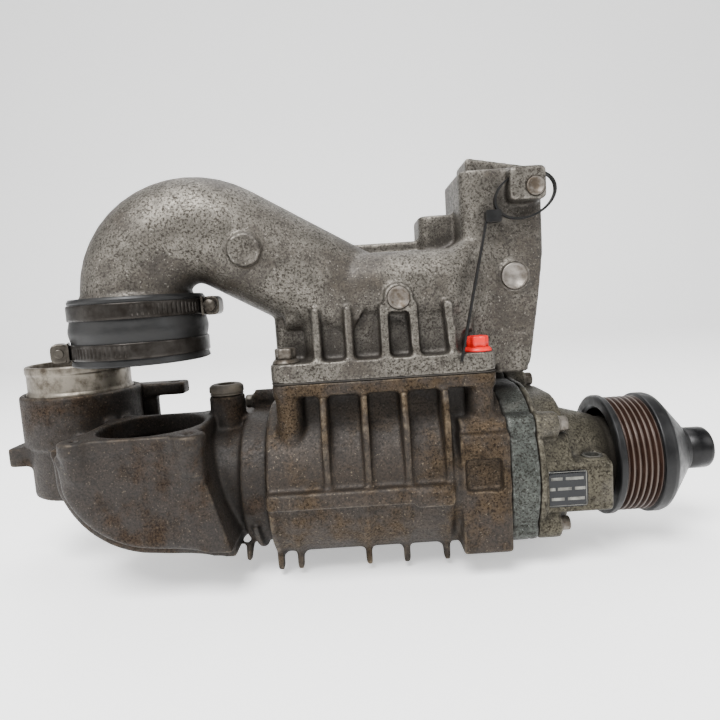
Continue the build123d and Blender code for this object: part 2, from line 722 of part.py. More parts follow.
with BuildPart() as outlet_duct:
    duct_base_z = port_face_z + gasket_thickness
    extrude(plate_z(duct_base_z, flange_left_x, flange_right_x, flange_front_y, flange_rear_y, 9), amount=duct_flange)
    extrude(plate_z(duct_base_z, base_left_x, box_left_x + 4, base_front_y, base_rear_y, 8), amount=118 - duct_base_z)
    extrude(plate_z(duct_base_z, *port_cover, 8), amount=port_cover_top_z - duct_base_z)
    extrude(plate_z(duct_base_z, *left_wall, 6), amount=left_wall_top_z - duct_base_z)
    add(bulge_solid(0))
    add(pipe_solid(pipe_radius))
    extrude(rounds_z(pipe_end_z, pipe_collar_radius, [(pipe_end_x, pipe_end_y)]), amount=hose_high_z - pipe_end_z)
    add(box_solid(duct_base_z, box_top_z, 0))
    extrude(plate_z(box_base_z, flange_right_x + 2, heel[0] + 0.5, box_front_y, box_rear_y, 6), amount=8)
    step = [
        (box_left_x + 9, box_top_z - 4),
        (box_right_x - 1.5, box_top_z - 4),
        (box_right_x - 1.5, step_low_z),
        (box_left_x + 9, box_top_z + box_step),
    ]
    extrude(outline_y(box_rear_y - 4, step), amount=box_rear_y - 10)
    extrude(plate_z(shoulder_z[0], *shoulder, 7), amount=shoulder_z[1] - shoulder_z[0])
    extrude(plate_z(back_wall_z[0], *back_wall, 8), amount=back_wall_z[1] - back_wall_z[0])
    with BuildSketch(Plane.XZ.offset(-box_front_y - 2)):
        with Locations(((corner_block[0] + corner_block[1]) / 2, (corner_block[2] + corner_block[3]) / 2)):
            RectangleRounded(corner_block[1] - corner_block[0], corner_block[3] - corner_block[2], 3)
    extrude(amount=box_front_y + 2 - corner_block_front_y)
    add(front_disc(*side_plug, side_plug_radius + side_plug_rim, box_front_y - 2.5, box_front_y + 2))
    add(front_disc(*middle_plug, plug_radius + 2, bulge_front_y - 3.5, bulge_front_y + 8))
    add(front_disc(*pipe_boss, 9.5, pipe_end_y - 26.5, pipe_end_y))
    add(front_disc(outlet_x, outlet_z, outlet_flange_radius, box_rear_y - 2, outlet_face_y))
    for top_x, foot_x_duct in duct_ribs:
        half = duct_rib_width / 2
        corners = [
            (foot_x_duct - half, duct_floor_z - 1),
            (foot_x_duct + half, duct_floor_z - 1),
            (top_x + half, rib_top_z),
            (top_x - half, rib_top_z),
        ]
        extrude(outline_y(base_front_y + 4, corners), amount=base_front_y + 4 - rib_front_y)
    # inside: port, plenum, box, pipe and outlet
    with BuildSketch(Plane.XY.offset(duct_base_z)):
        with BuildLine():
            Polyline(*port_points, close=True)
        make_face()
        fillet(vertices(), 9)
    extrude(amount=duct_flange + 2, mode=Mode.SUBTRACT)
    plenum = (base_left_x + duct_wall, plenum_right_x, base_front_y + duct_wall, base_rear_y - duct_wall)
    extrude(plate_z(duct_floor_z, *plenum, 5), amount=118 - duct_floor_z, mode=Mode.SUBTRACT)
    under_cover = (port_cover[0] + duct_wall, port_cover[1] - duct_wall, 20.0, port_cover[3] - duct_wall)
    under_cover_top_z = port_cover_top_z - duct_wall
    extrude(plate_z(duct_floor_z, *under_cover, 5), amount=under_cover_top_z - duct_floor_z, mode=Mode.SUBTRACT)
    passage = (plenum_right_x - 20, box_left_x + 10, box_front_y + duct_wall, base_rear_y - duct_wall)
    extrude(plate_z(duct_floor_z, *passage, 5), amount=118 - duct_floor_z, mode=Mode.SUBTRACT)
    add(bulge_solid(duct_wall), mode=Mode.SUBTRACT)
    add(pipe_solid(pipe_radius - pipe_wall), mode=Mode.SUBTRACT)
    add(box_solid(duct_floor_z, box_top_z - duct_wall, duct_wall), mode=Mode.SUBTRACT)
    add(front_disc(outlet_x, outlet_z, outlet_bore_radius, box_rear_y - 10, outlet_face_y + 1), mode=Mode.SUBTRACT)
    for x, z, radius, y_front in core_plugs:
        add(front_disc(x, z, radius, y_front, y_front + plug_depth), mode=Mode.SUBTRACT)
    with BuildSketch(Plane.XZ.offset(-box_front_y + 1)):
        with Locations(((side_recess[0] + side_recess[1]) / 2, (side_recess[2] + side_recess[3]) / 2)):
            RectangleRounded(side_recess[1] - side_recess[0], side_recess[3] - side_recess[2], 4)
    extrude(amount=-1 - side_recess_depth, mode=Mode.SUBTRACT)
    # slot behind the corner block's face, where the cable tie passes
    with BuildSketch(Plane.XZ.offset(-tie_rear_y - 0.5 + tie_width + 1)):
        with Locations(Location((*tie_centre, 0), (0, 0, tie_tilt))):
            Ellipse(tie_half_width + 0.8, tie_half_height + 0.8)
            Ellipse(tie_half_width - tie_thickness - 0.8, tie_half_height - tie_thickness - 0.8, mode=Mode.SUBTRACT)
    extrude(amount=-tie_width - 1, mode=Mode.SUBTRACT)
    extrude(
        rounds_z(duct_base_z, bolt_hole_radius, duct_bolt_points + [marked_bolt_point]),
        amount=duct_flange,
        mode=Mode.SUBTRACT,
    )
    # room above the bolt seats
    extrude(
        rounds_z(duct_floor_z, bolt_flange_radius + 0.8, duct_bolt_points + [marked_bolt_point]),
        amount=12,
        mode=Mode.SUBTRACT,
    )
    # outlet flange studs' holes
    with BuildSketch(Plane.XZ.offset(-outlet_face_y)):
        with Locations((outlet_x, outlet_z)):
            with PolarLocations(outlet_flange_radius - 4.2, 4, 45):
                Circle(2.5)
    extrude(amount=9, mode=Mode.SUBTRACT)
finish(outlet_duct.part, "outlet_duct")

with BuildPart() as duct_core_plugs:
    for x, z, radius, y_front in core_plugs:
        add(front_disc(x, z, radius, y_front - 0.4, y_front + plug_depth))
finish(duct_core_plugs.part, "duct_core_plugs")

with BuildPart() as outlet_gasket:
    extrude(plate_z(port_face_z, flange_left_x, flange_right_x, flange_front_y, flange_rear_y, 9), amount=gasket_thickness)
    with BuildSketch(Plane.XY.offset(port_face_z)):
        with BuildLine():
            Polyline(*port_points, close=True)
        make_face()
        fillet(vertices(), 9)
    extrude(amount=gasket_thickness, mode=Mode.SUBTRACT)
    extrude(
        rounds_z(port_face_z, bolt_hole_radius, duct_bolt_points + [marked_bolt_point]),
        amount=gasket_thickness,
        mode=Mode.SUBTRACT,
    )
finish(outlet_gasket.part, "outlet_gasket")

with BuildPart() as duct_bolts:
    for x, y in duct_bolt_points:
        add(flange_bolt(Plane.XY.offset(duct_floor_z).move(Location((x, y, 0))), bolt_shank_radius, duct_bolt_grip))
finish(duct_bolts.part, "duct_bolts")

with BuildPart() as marked_duct_bolt:
    seat = Plane.XY.offset(duct_floor_z).move(Location((*marked_bolt_point, 0)))
    add(flange_bolt(seat, bolt_shank_radius, duct_bolt_grip))
finish(marked_duct_bolt.part, "marked_duct_bolt")

# ---- inlet housing -----------------------------------------------------------------------------
inlet_face_x = housing_rear_x - gasket_thickness
scoop_top_z = bypass_face_z - bypass_flange
scoop_right_x = -265.0
scoop_flank = (-251.0, -16.0)
scoop_front_outline = (-343.0, (-343.0, 14.0), (-325.0, -11.0), (-290.0, -23.0), (-248.0, -27.0))
scoop_rear_outline = (-355.0, (-355.0, 12.0), (-338.0, -17.5), (-298.0, -33.5), (-250.0, -37.0))
tower_floor_z = -8.0
tower_foot_radius = 36.0
passage_y = (8.0, 60.0)
tab = (-413.0, -378.0, 10.0, 34.0)
rear_lug = (-340.0, -299.0, 45.0, 63.0)
rear_lug_hole = (-308.0, 54.0)
rear_lug_z = (51.0, 60.0)
inner_neck_radius = neck_radius - inlet_wall - 5.0


def scoop_half(y_front, left_x, shoulder, low_point, heel, toe, wall):
    """One depth of the scoop: its outline in X and Z carried back from y_front, every side
    shrunk by the wall. The outline drops at left_x to the shoulder and curves through low_point
    to the heel; the toe is its lowest corner at the right."""
    with BuildPart() as solid:
        with BuildSketch(Plane.XZ.offset(-scoop_rear_y + wall)):
            with BuildLine():
                Polyline((scoop_right_x, scoop_top_z), (left_x, scoop_top_z), shoulder)
                ThreePointArc(shoulder, low_point, heel)
                Polyline(heel, toe, scoop_flank, (scoop_right_x, scoop_top_z))
            make_face()
            if wall > 0:
                offset(amount=-wall, mode=Mode.REPLACE)
        extrude(amount=scoop_rear_y - y_front - 2 * wall)
    return solid.part


def scoop_solid(wall):
    """The scoop: a front part with a tight outline and a rear part that bulges further out."""
    with BuildPart() as solid:
        add(scoop_half(scoop_front_y, *scoop_front_outline, wall))
        add(scoop_half(scoop_step_y, *scoop_rear_outline, wall))
    return solid.part


with BuildPart() as inlet_housing:
    add(scoop_solid(0))
    # neck and flange towards the rotor housing
    extrude(racetrack(neck_left_x, neck_radius - 5), amount=inlet_face_x - neck_left_x)
    extrude(racetrack(inlet_flange_x, neck_radius), amount=inlet_face_x - inlet_flange_x)
    extrude(rounds_x(inlet_flange_x, cover_bolt_boss, inlet_bolt_points), amount=inlet_face_x - inlet_flange_x)
    with BuildSketch(Plane.YZ.offset(-240.0)):
        with Locations((centre_distance / 2, 0)):
            SlotCenterToCenter(centre_distance, 2 * (neck_radius + 4))
        with Locations((centre_distance / 2, housing_radius)):
            Rectangle(3 * centre_distance, 2 * housing_radius + 40, mode=Mode.SUBTRACT)
    extrude(amount=rib_thickness)
    # inlet tower, its collar, and the passage behind the scoop
    extrude(rounds_z(tower_floor_z, tower_foot_radius, [(tower_x, tower_y)]), amount=tower_collar_z - tower_floor_z)
    extrude(rounds_z(tower_collar_z, tower_radius, [(tower_x, tower_y)]), amount=tower_top_z - tower_collar_z)
    extrude(plate_z(tower_floor_z - 2, tower_x, neck_left_x + 6, *passage_y, 10), amount=tower_collar_z + 6 - tower_floor_z)
    # bypass flange: a square with rounded lobes, and a screw boss under each lobe
    lobe_half = bypass_bolt_spacing / 2
    lobe_points = [(pipe_end_x + i * lobe_half, pipe_end_y + j * lobe_half) for i in (-1, 1) for j in (-1, 1)]
    lobe_reach = lobe_half + bypass_plate_margin
    extrude(
        plate_z(
            scoop_top_z,
            pipe_end_x - lobe_reach,
            pipe_end_x + lobe_reach,
            pipe_end_y - lobe_reach,
            pipe_end_y + lobe_reach,
            bypass_plate_margin,
        ),
        amount=bypass_flange,
    )
    extrude(rounds_z(scoop_top_z, bypass_lobe_radius, lobe_points), amount=bypass_flange)
    extrude(rounds_z(scoop_top_z - 16, bypass_lobe_radius - 1.5, lobe_points), amount=16)
    # lugs and the vent boss
    extrude(plate_z(13, *tab, 4), amount=13)
    extrude(plate_z(tower_floor_z, tower_x - 30, tower_x - 10, 16, 34, 4), amount=24)
    extrude(plate_z(rear_lug_z[0], *rear_lug, 4), amount=rear_lug_z[1] - rear_lug_z[0])
    extrude(plate_z(tower_collar_z - 8, rear_lug[0], rear_lug[0] + 20, 46, 56, 3), amount=rear_lug_z[0] - tower_collar_z + 9)
    extrude(rounds_z(20, boss_radius, [(boss_x, 0)]), amount=boss_top_z - 7 - 20)
    # air passages
    extrude(rounds_z(0, bypass_bore_radius, [(pipe_end_x, pipe_end_y)]), amount=bypass_face_z, mode=Mode.SUBTRACT)
    add(scoop_solid(inlet_wall), mode=Mode.SUBTRACT)
    extrude(panel_x(-285, -26, 5, -27, 26, 8), amount=35, mode=Mode.SUBTRACT)
    extrude(racetrack(neck_left_x + inlet_wall, inner_neck_radius), amount=60, mode=Mode.SUBTRACT)
    extrude(
        plate_z(tower_floor_z + 4, tower_x, neck_left_x + 12, passage_y[0] + inlet_wall, passage_y[1] - inlet_wall, 6),
        amount=tower_collar_z - 2 - tower_floor_z,
        mode=Mode.SUBTRACT,
    )
    extrude(plate_z(tower_floor_z + 4, -330, -285, 0, 30, 5), amount=26, mode=Mode.SUBTRACT)
    extrude(rounds_z(tower_floor_z + 6, spigot_radius - spigot_wall, [(tower_x, tower_y)]), amount=60, mode=Mode.SUBTRACT)
    extrude(rounds_z(spigot_seat_z, spigot_radius + spigot_shoulder, [(tower_x, tower_y)]), amount=60, mode=Mode.SUBTRACT)
    # holes: flange screws, lobes, lugs, vent
    extrude(rounds_x(inlet_flange_x, cover_hole_radius, inlet_bolt_points), amount=20, mode=Mode.SUBTRACT)
    extrude(rounds_z(scoop_top_z - 12, 2.5, lobe_points), amount=30, mode=Mode.SUBTRACT)
    extrude(rounds_z(rear_lug_z[0] - 1, cover_hole_radius, [rear_lug_hole]), amount=20, mode=Mode.SUBTRACT)
    extrude(rounds_z(boss_top_z - 18, 8.0, [(boss_x, 0)]), amount=20, mode=Mode.SUBTRACT)
finish(inlet_housing.part, "inlet_housing")

with BuildPart() as inlet_spigot:
    with BuildSketch(Plane.XY.offset(spigot_seat_z)):
        with Locations((tower_x, tower_y)):
            Circle(spigot_radius)
            Circle(spigot_radius - spigot_wall, mode=Mode.SUBTRACT)
    extrude(amount=spigot_top_z - spigot_seat_z)
    with BuildSketch(Plane.XY.offset(spigot_seat_z)):
        with Locations((tower_x, tower_y)):
            Circle(spigot_radius + spigot_shoulder)
            Circle(spigot_radius - spigot_wall, mode=Mode.SUBTRACT)
    extrude(amount=tower_top_z - spigot_seat_z)
finish(inlet_spigot.part, "inlet_spigot")

vent_bore_radius = 5.5
with BuildPart() as vent_nipple:
    extrude(rounds_z(boss_top_z - 18, 8.0, [(boss_x, 0)]), amount=18)
    extrude(rounds_z(boss_top_z - 7, boss_radius - 0.3, [(boss_x, 0)]), amount=7)
    extrude(rounds_z(boss_top_z - 18, vent_bore_radius, [(boss_x, 0)]), amount=18, mode=Mode.SUBTRACT)
finish(vent_nipple.part, "vent_nipple")

with BuildPart() as inlet_gasket:
    extrude(racetrack(inlet_face_x, neck_radius), amount=gasket_thickness)
    extrude(rounds_x(inlet_face_x, cover_bolt_boss, inlet_bolt_points), amount=gasket_thickness)
    extrude(racetrack(inlet_face_x, inner_neck_radius), amount=gasket_thickness, mode=Mode.SUBTRACT)
    extrude(rounds_x(inlet_face_x, cover_hole_radius, inlet_bolt_points), amount=gasket_thickness, mode=Mode.SUBTRACT)
finish(inlet_gasket.part, "inlet_gasket")

with BuildPart() as inlet_bolts:
    for y, z in inlet_bolt_points:
        add(flange_bolt(Plane((inlet_flange_x, y, z), (0, 1, 0), (-1, 0, 0)), cover_shank_radius, inlet_bolt_grip, 0.7))
finish(inlet_bolts.part, "inlet_bolts")

with BuildPart() as cover_bolts:
    for y, z in cover_bolt_points:
        add(flange_bolt(Plane((cover_bolt_seat_x, y, z), (0, 1, 0), (1, 0, 0)), cover_shank_radius, cover_bolt_grip, 0.7))
finish(cover_bolts.part, "cover_bolts")

with BuildPart() as dowel_pins:
    extrude(rounds_x(plate_rear_x - 6, dowel_radius, dowel_points), amount=plate_thickness + 6)
finish(dowel_pins.part, "dowel_pins")

# ---- rotors, shafts and gears -------------------------------------------------------------------
shaft_front_x = gear_front_x + 0.2
for name, offset_y, hand, phase in (("drive", 0.0, 1, 0.0), ("driven", centre_distance, -1, pi / gear_teeth)):
    finish(rotor(offset_y, hand), f"{name}_rotor")
    finish(spur_gear(offset_y, phase), f"{name}_gear")
    with BuildPart() as rotor_shaft:
        add(rod(cavity_rear_x + end_clearance, plate_rear_x - end_clearance, shaft_radius, offset_y))
        add(rod(plate_rear_x - end_clearance - 1, shaft_front_x, bearing_bore_radius, offset_y))
        add(rod(housing_rear_x + 2, cavity_rear_x + end_clearance + 1, roller_shaft_radius, offset_y))
    finish(rotor_shaft.part, f"{name}_rotor_shaft")

# ---- ball bearings --------------------------------------------------------------------------------
with BuildPart() as rotor_bearing_outer_rings:
    for axis_y in axis_offsets:
        add(bearing_outer_ring(plate_bearing_x, axis_y))
finish(rotor_bearing_outer_rings.part, "rotor_bearing_outer_rings")

with BuildPart() as snout_bearing_outer_rings:
    for bearing_x in (rear_snout_bearing_x, front_snout_bearing_x):
        add(bearing_outer_ring(bearing_x, 0))
finish(snout_bearing_outer_rings.part, "snout_bearing_outer_rings")

drive_bearing_stations = (plate_bearing_x, rear_snout_bearing_x, front_snout_bearing_x)
for name, offset_y, stations in (
    ("drive", 0.0, drive_bearing_stations),
    ("driven", centre_distance, (plate_bearing_x,)),
):
    with BuildPart() as inner_rings:
        for bearing_x in stations:
            add(bearing_inner_ring(bearing_x, offset_y))
    finish(inner_rings.part, f"{name}_bearing_inner_rings")
    with BuildPart() as bearing_balls:
        for bearing_x in stations:
            add(ball_set(bearing_x, offset_y, ball_radius))
    finish(bearing_balls.part, f"{name}_bearing_balls")
    with BuildPart() as bearing_cages:
        for bearing_x in stations:
            add(ball_cage(bearing_x, offset_y))
    finish(bearing_cages.part, f"{name}_bearing_cages")

# ---- rear roller bearings -------------------------------------------------------------------------
roller_circle = roller_shaft_radius + roller_clearance + roller_radius
roller_track = roller_circle + roller_radius + roller_clearance
with BuildPart() as roller_cups:
    for axis_y in axis_offsets:
        add(ring(housing_rear_x + 1, cavity_rear_x, roller_track, roller_cup_radius, axis_y))
finish(roller_cups.part, "roller_cups")

for name, offset_y in (("drive", 0.0), ("driven", centre_distance)):
    points = [
        (offset_y + roller_circle * cos(2 * pi * i / roller_count), roller_circle * sin(2 * pi * i / roller_count))
        for i in range(roller_count)
    ]
    with BuildPart() as bearing_rollers:
        extrude(rounds_x(housing_rear_x + 2.5, roller_radius, points), amount=rear_wall - 4)
    finish(bearing_rollers.part, f"{name}_bearing_rollers")

# ---- drive coupling in the snout --------------------------------------------------------------------
gear_pin_points = [
    (pin_circle * cos(radians(angle)), pin_circle * sin(radians(angle))) for angle in (0, 120, 240)
]
hub_pin_points = [(-y, -z) for y, z in gear_pin_points]
shaft_rear_x = hub_rear_x
with BuildPart() as gear_drive_pins:
    extrude(rounds_x(gear_front_x, pin_radius, gear_pin_points), amount=isolator_front_x - 0.5 - gear_front_x)
finish(gear_drive_pins.part, "gear_drive_pins")

with BuildPart() as isolator:
    extrude(rounds_x(isolator_rear_x, isolator_radius, [(0, 0)]), amount=isolator_thickness)
    extrude(
        rounds_x(isolator_rear_x, pin_radius + pin_clearance, gear_pin_points + hub_pin_points),
        amount=isolator_thickness,
        mode=Mode.SUBTRACT,
    )
    extrude(rounds_x(isolator_rear_x, 6, [(0, 0)]), amount=isolator_thickness, mode=Mode.SUBTRACT)
finish(isolator.part, "isolator")

with BuildPart() as hub_drive_pins:
    extrude(rounds_x(isolator_rear_x + 0.5, pin_radius, hub_pin_points), amount=hub_rear_x - isolator_rear_x - 0.5)
finish(hub_drive_pins.part, "hub_drive_pins")

with BuildPart() as coupling_hub:
    add(ring(hub_rear_x, hub_front_x, bearing_bore_radius, isolator_radius, 0))
    add(ring(hub_front_x, rear_snout_bearing_x, bearing_bore_radius, inner_ring_radius - 0.5, 0))
finish(coupling_hub.part, "coupling_hub")

shaft_end_x = pulley_face_x - 2.0
with BuildPart() as input_shaft:
    add(rod(shaft_rear_x, shaft_end_x, bearing_bore_radius))
    extrude(rounds_x(shaft_end_x - 18, nose_bolt_radius, [(0, 0)]), amount=18, mode=Mode.SUBTRACT)
finish(input_shaft.part, "input_shaft")

seal_rear_x = nose_front_x - seal_width
seal_lip_clearance = 0.05
with BuildPart() as shaft_seal:
    add(ring(seal_rear_x, nose_front_x, bearing_outer_radius - 1.5, bearing_outer_radius, 0))
    add(ring(nose_front_x - 1.5, nose_front_x, bearing_bore_radius + seal_lip_clearance, bearing_outer_radius - 1.5, 0))
    add(ring(seal_rear_x, nose_front_x - 1.5, bearing_bore_radius + seal_lip_clearance, bearing_bore_radius + 2, 0))
finish(shaft_seal.part, "shaft_seal")

# ---- pulley and nose ----------------------------------------------------------------------------
track_half = rib_count_v * rib_pitch_v / 2
pulley_rear_x = -track_half - flange_lip - 2.0
pulley_rim_x = track_half + flange_lip + 7.5
grooves = []
for rib in range(rib_count_v):
    left = -track_half + rib * rib_pitch_v
    grooves += [
        (left + 0.5, groove_top_radius),
        (left + rib_pitch_v / 2 - 0.35, groove_top_radius - groove_depth),
        (left + rib_pitch_v / 2 + 0.35, groove_top_radius - groove_depth),
        (left + rib_pitch_v - 0.5, groove_top_radius),
    ]
pulley_profile = [
    (pulley_rear_x, cup_radius + 2),
    (pulley_rear_x, pulley_radius - 1),
    (pulley_rear_x + 1, pulley_radius),
    (-track_half - 1.2, pulley_radius),
    (-track_half, groove_top_radius - 1.2),
    *grooves,
    (track_half, groove_top_radius - 1.2),
    (track_half + 1.2, pulley_radius),
    (pulley_rim_x - 4, pulley_radius),
    (pulley_rim_x - 1.5, pulley_radius - 1),
    (pulley_rim_x, pulley_radius - 3),
    (pulley_face_x - 5, pulley_hub_radius + 6),
    (pulley_face_x - 4, pulley_hub_radius + 1.5),
    (pulley_face_x, pulley_hub_radius + 1),
    (pulley_face_x, bearing_bore_radius),
    (nose_front_x + 1, bearing_bore_radius),
    (nose_front_x + 1, pulley_hub_radius),
    (pulley_face_x - 12, pulley_hub_radius),
    (pulley_rim_x - 6, cup_radius - 3),
    (nose_front_x + 1, cup_radius),
    (pulley_rear_x + 2, cup_radius),
]
with BuildPart() as pulley:
    add(turned(pulley_profile))
finish(pulley.part, "pulley")

nose_tip_x = pulley_face_x + nose_cap_length
nose_socket = 10.0
with BuildPart() as pulley_nose_bolt:
    add(
        turned(
            [
                (pulley_face_x, 0),
                (pulley_face_x, nose_cap_radius - 1),
                (pulley_face_x + 1, nose_cap_radius),
                (nose_tip_x - 3, nose_cap_radius),
                (nose_tip_x - 0.9, nose_cap_radius - 0.9),
                (nose_tip_x, nose_cap_radius - 3),
                (nose_tip_x, 0),
            ]
        )
    )
    add(rod(shaft_end_x - 17, pulley_face_x, nose_bolt_radius))
    with BuildSketch(Plane.YZ.offset(nose_tip_x)):
        RegularPolygon(nose_socket / 2, 6, major_radius=False)
    extrude(amount=-9, mode=Mode.SUBTRACT)
finish(pulley_nose_bolt.part, "pulley_nose_bolt")

# ---- hose coupling and its clamps ------------------------------------------------------------------
hose_radius = pipe_collar_radius + hose_wall
pipe_axis = Axis((pipe_end_x, pipe_end_y, 0), (0, 0, 1))


def turned_upright(points):
    """Solid of revolution about the pipe's upright end, from (radius, z) points."""
    with BuildPart() as solid:
        with BuildSketch(Plane.XZ.offset(-pipe_end_y)):
            with BuildLine():
                Polyline(*[(pipe_end_x + radius, z) for radius, z in points], close=True)
            make_face()
        revolve(axis=pipe_axis)
    return solid.part


with BuildPart() as coupling_hose:
    add(
        turned_upright(
            [
                (pipe_collar_radius, hose_low_z),
                (hose_radius + 1.3, hose_low_z),
                (hose_radius + 1.3, lower_band_z - 1),
                (hose_radius, lower_band_z - 0.4),
                (hose_radius, lower_band_z + band_width + 0.4),
                (hose_radius + 1.3, lower_band_z + band_width + 1.4),
                (hose_radius + 1.3, upper_band_z - 1.4),
                (hose_radius, upper_band_z - 0.4),
                (hose_radius, upper_band_z + band_width + 0.4),
                (hose_radius + 0.9, hose_high_z - 1.5),
                (hose_radius - 1, hose_high_z),
                (pipe_collar_radius, hose_high_z),
            ]
        )
    )
finish(coupling_hose.part, "coupling_hose")

clamp_screw_reach = 11.0
clamp_head = 3.6
for name, band_z, angle in (("upper", upper_band_z, 0), ("lower", lower_band_z, 203)):
    with BuildPart() as band:
        add(
            turned_upright(
                [
                    (hose_radius, band_z),
                    (hose_radius + band_thickness, band_z),
                    (hose_radius + band_thickness, band_z + band_width),
                    (hose_radius, band_z + band_width),
                ]
            )
        )
    finish(band.part, f"{name}_clamp_band")
    turn = radians(angle)
    reach = hose_radius + band_thickness
    seat = Plane(
        (pipe_end_x + reach * cos(turn), pipe_end_y + reach * sin(turn), band_z + band_width / 2),
        (cos(turn), sin(turn), 0),
        (-sin(turn), cos(turn), 0),
    )
    with BuildPart() as clamp_housing:
        with BuildSketch(seat):
            with Locations((clamp_box / 2 + 0.6, 0)):
                RectangleRounded(clamp_box, band_width + 2.4, 1.5)
            with Locations((clamp_box / 2 + 0.8, 0)):
                Circle(clamp_screw_radius + pin_clearance, mode=Mode.SUBTRACT)
        extrude(amount=6.5, both=True)
    finish(clamp_housing.part, f"{name}_clamp_housing")
    with BuildPart() as clamp_screw:
        with BuildSketch(seat.offset(-clamp_screw_reach)):
            with Locations((clamp_box / 2 + 0.8, 0)):
                Circle(clamp_screw_radius)
        extrude(amount=clamp_screw_reach + 7.5)
        with BuildSketch(seat.offset(-clamp_screw_reach + 4)):
            with Locations((clamp_box / 2 + 0.8, 0)):
                RegularPolygon(clamp_head, 6, major_radius=False)
        extrude(amount=-5)
    finish(clamp_screw.part, f"{name}_clamp_screw")

# ---- cable tie round the corner block --------------------------------------------------------
with BuildPart() as cable_tie:
    with BuildSketch(Plane.XZ.offset(-tie_rear_y + tie_width)):
        with Locations(Location((*tie_centre, 0), (0, 0, tie_tilt))):
            Ellipse(tie_half_width, tie_half_height)
            Ellipse(tie_half_width - tie_thickness, tie_half_height - tie_thickness, mode=Mode.SUBTRACT)
    extrude(amount=-tie_width)
    with BuildSketch(Plane.XZ.offset(-tie_rear_y - 0.5)):
        with Locations((tie_head[0] + 3.5, tie_head[1])):
            RectangleRounded(9, 7, 1)
    extrude(amount=tie_width + 3)
    tail_start = Vector(tie_head[0], tie_rear_y - 2.5, tie_head[1])
    tail_way = Vector(-22.5, -19.0, -84.0).normalized()
    with BuildSketch(Plane(tail_start, Vector(0, 1, 0).cross(tail_way), tail_way)):
        Rectangle(tie_thickness, tie_width - 0.6)
    extrude(amount=tie_tail_length)
finish(cable_tie.part, "cable_tie")
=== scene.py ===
"""Looks of a twin-rotor supercharger: cast housings, duct, hose coupling, snout and belt pulley.

Run as a script in Blender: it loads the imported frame, builds the visible pieces as surfaces
worked out with numpy, gives every piece its material and places the stage, lights and camera.
Lengths are metres; the frame's X runs along the drive axis, Z is up.
"""

import bmesh
import bpy
import numpy as np
from mathutils import Matrix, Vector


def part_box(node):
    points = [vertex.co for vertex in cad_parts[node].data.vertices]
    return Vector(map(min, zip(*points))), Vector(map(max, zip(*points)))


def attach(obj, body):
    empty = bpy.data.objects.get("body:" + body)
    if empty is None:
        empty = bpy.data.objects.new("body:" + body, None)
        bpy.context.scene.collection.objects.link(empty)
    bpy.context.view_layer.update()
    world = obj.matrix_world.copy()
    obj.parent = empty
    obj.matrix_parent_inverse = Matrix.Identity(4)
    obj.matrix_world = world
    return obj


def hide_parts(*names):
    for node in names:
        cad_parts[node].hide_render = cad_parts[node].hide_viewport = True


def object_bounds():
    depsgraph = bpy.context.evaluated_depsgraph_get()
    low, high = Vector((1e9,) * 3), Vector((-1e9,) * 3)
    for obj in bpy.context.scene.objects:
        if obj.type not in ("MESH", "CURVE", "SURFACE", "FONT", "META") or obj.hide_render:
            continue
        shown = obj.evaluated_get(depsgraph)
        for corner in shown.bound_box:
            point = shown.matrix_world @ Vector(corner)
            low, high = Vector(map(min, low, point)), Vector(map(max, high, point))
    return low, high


bl_info = {
    "name": "Supercharger looks",
    "version": (1, 0, 0),
    "blender": (4, 5, 0),
    "location": "3D View > Sidebar > Blower",
    "description": "Builds the visible pieces of a twin-rotor supercharger around its frame",
    "category": "Object",
}

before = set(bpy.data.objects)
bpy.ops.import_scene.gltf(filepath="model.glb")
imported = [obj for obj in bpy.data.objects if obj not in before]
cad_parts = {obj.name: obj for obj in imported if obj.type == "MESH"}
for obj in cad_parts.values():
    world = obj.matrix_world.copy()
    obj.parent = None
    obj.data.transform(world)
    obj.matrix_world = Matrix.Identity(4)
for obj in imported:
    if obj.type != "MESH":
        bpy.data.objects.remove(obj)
cad_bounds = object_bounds()
MM = 0.001
TAU = 2 * np.pi


# ---- small tools ---------------------------------------------------------------------------


def linear(code):
    """Linear RGBA from an sRGB hex colour: each channel c becomes ((c+0.055)/1.055)^2.4."""
    channels = np.array([int(code[i : i + 2], 16) for i in (1, 3, 5)]) / 255
    low = channels / 12.92
    high = ((channels + 0.055) / 1.055) ** 2.4
    return (*np.where(channels <= 0.04045, low, high).tolist(), 1.0)


def per_mm(size):
    """Noise scale, in cells per metre, whose features are size millimetres across."""
    return 1000.0 / size


def add(tree, kind, inputs=None, **settings):
    """Adds a shader node: inputs holds values or links by socket, settings its properties."""
    made = tree.nodes.new("ShaderNode" + kind)
    for key, value in settings.items():
        setattr(made, key, value)
    for key, value in (inputs or {}).items():
        if isinstance(value, bpy.types.NodeSocket):
            tree.links.new(value, made.inputs[key])
        else:
            made.inputs[key].default_value = value
    return made


def new_material(name, links, constants):
    """A material with one Principled shader; links(tree) gives its linked sockets."""
    material = bpy.data.materials.new(name)
    material.use_nodes = True
    tree = material.node_tree
    tree.nodes.clear()
    shader = add(tree, "BsdfPrincipled", {**constants, **links(tree)})
    add(tree, "OutputMaterial", {"Surface": shader.outputs[0]})
    return material


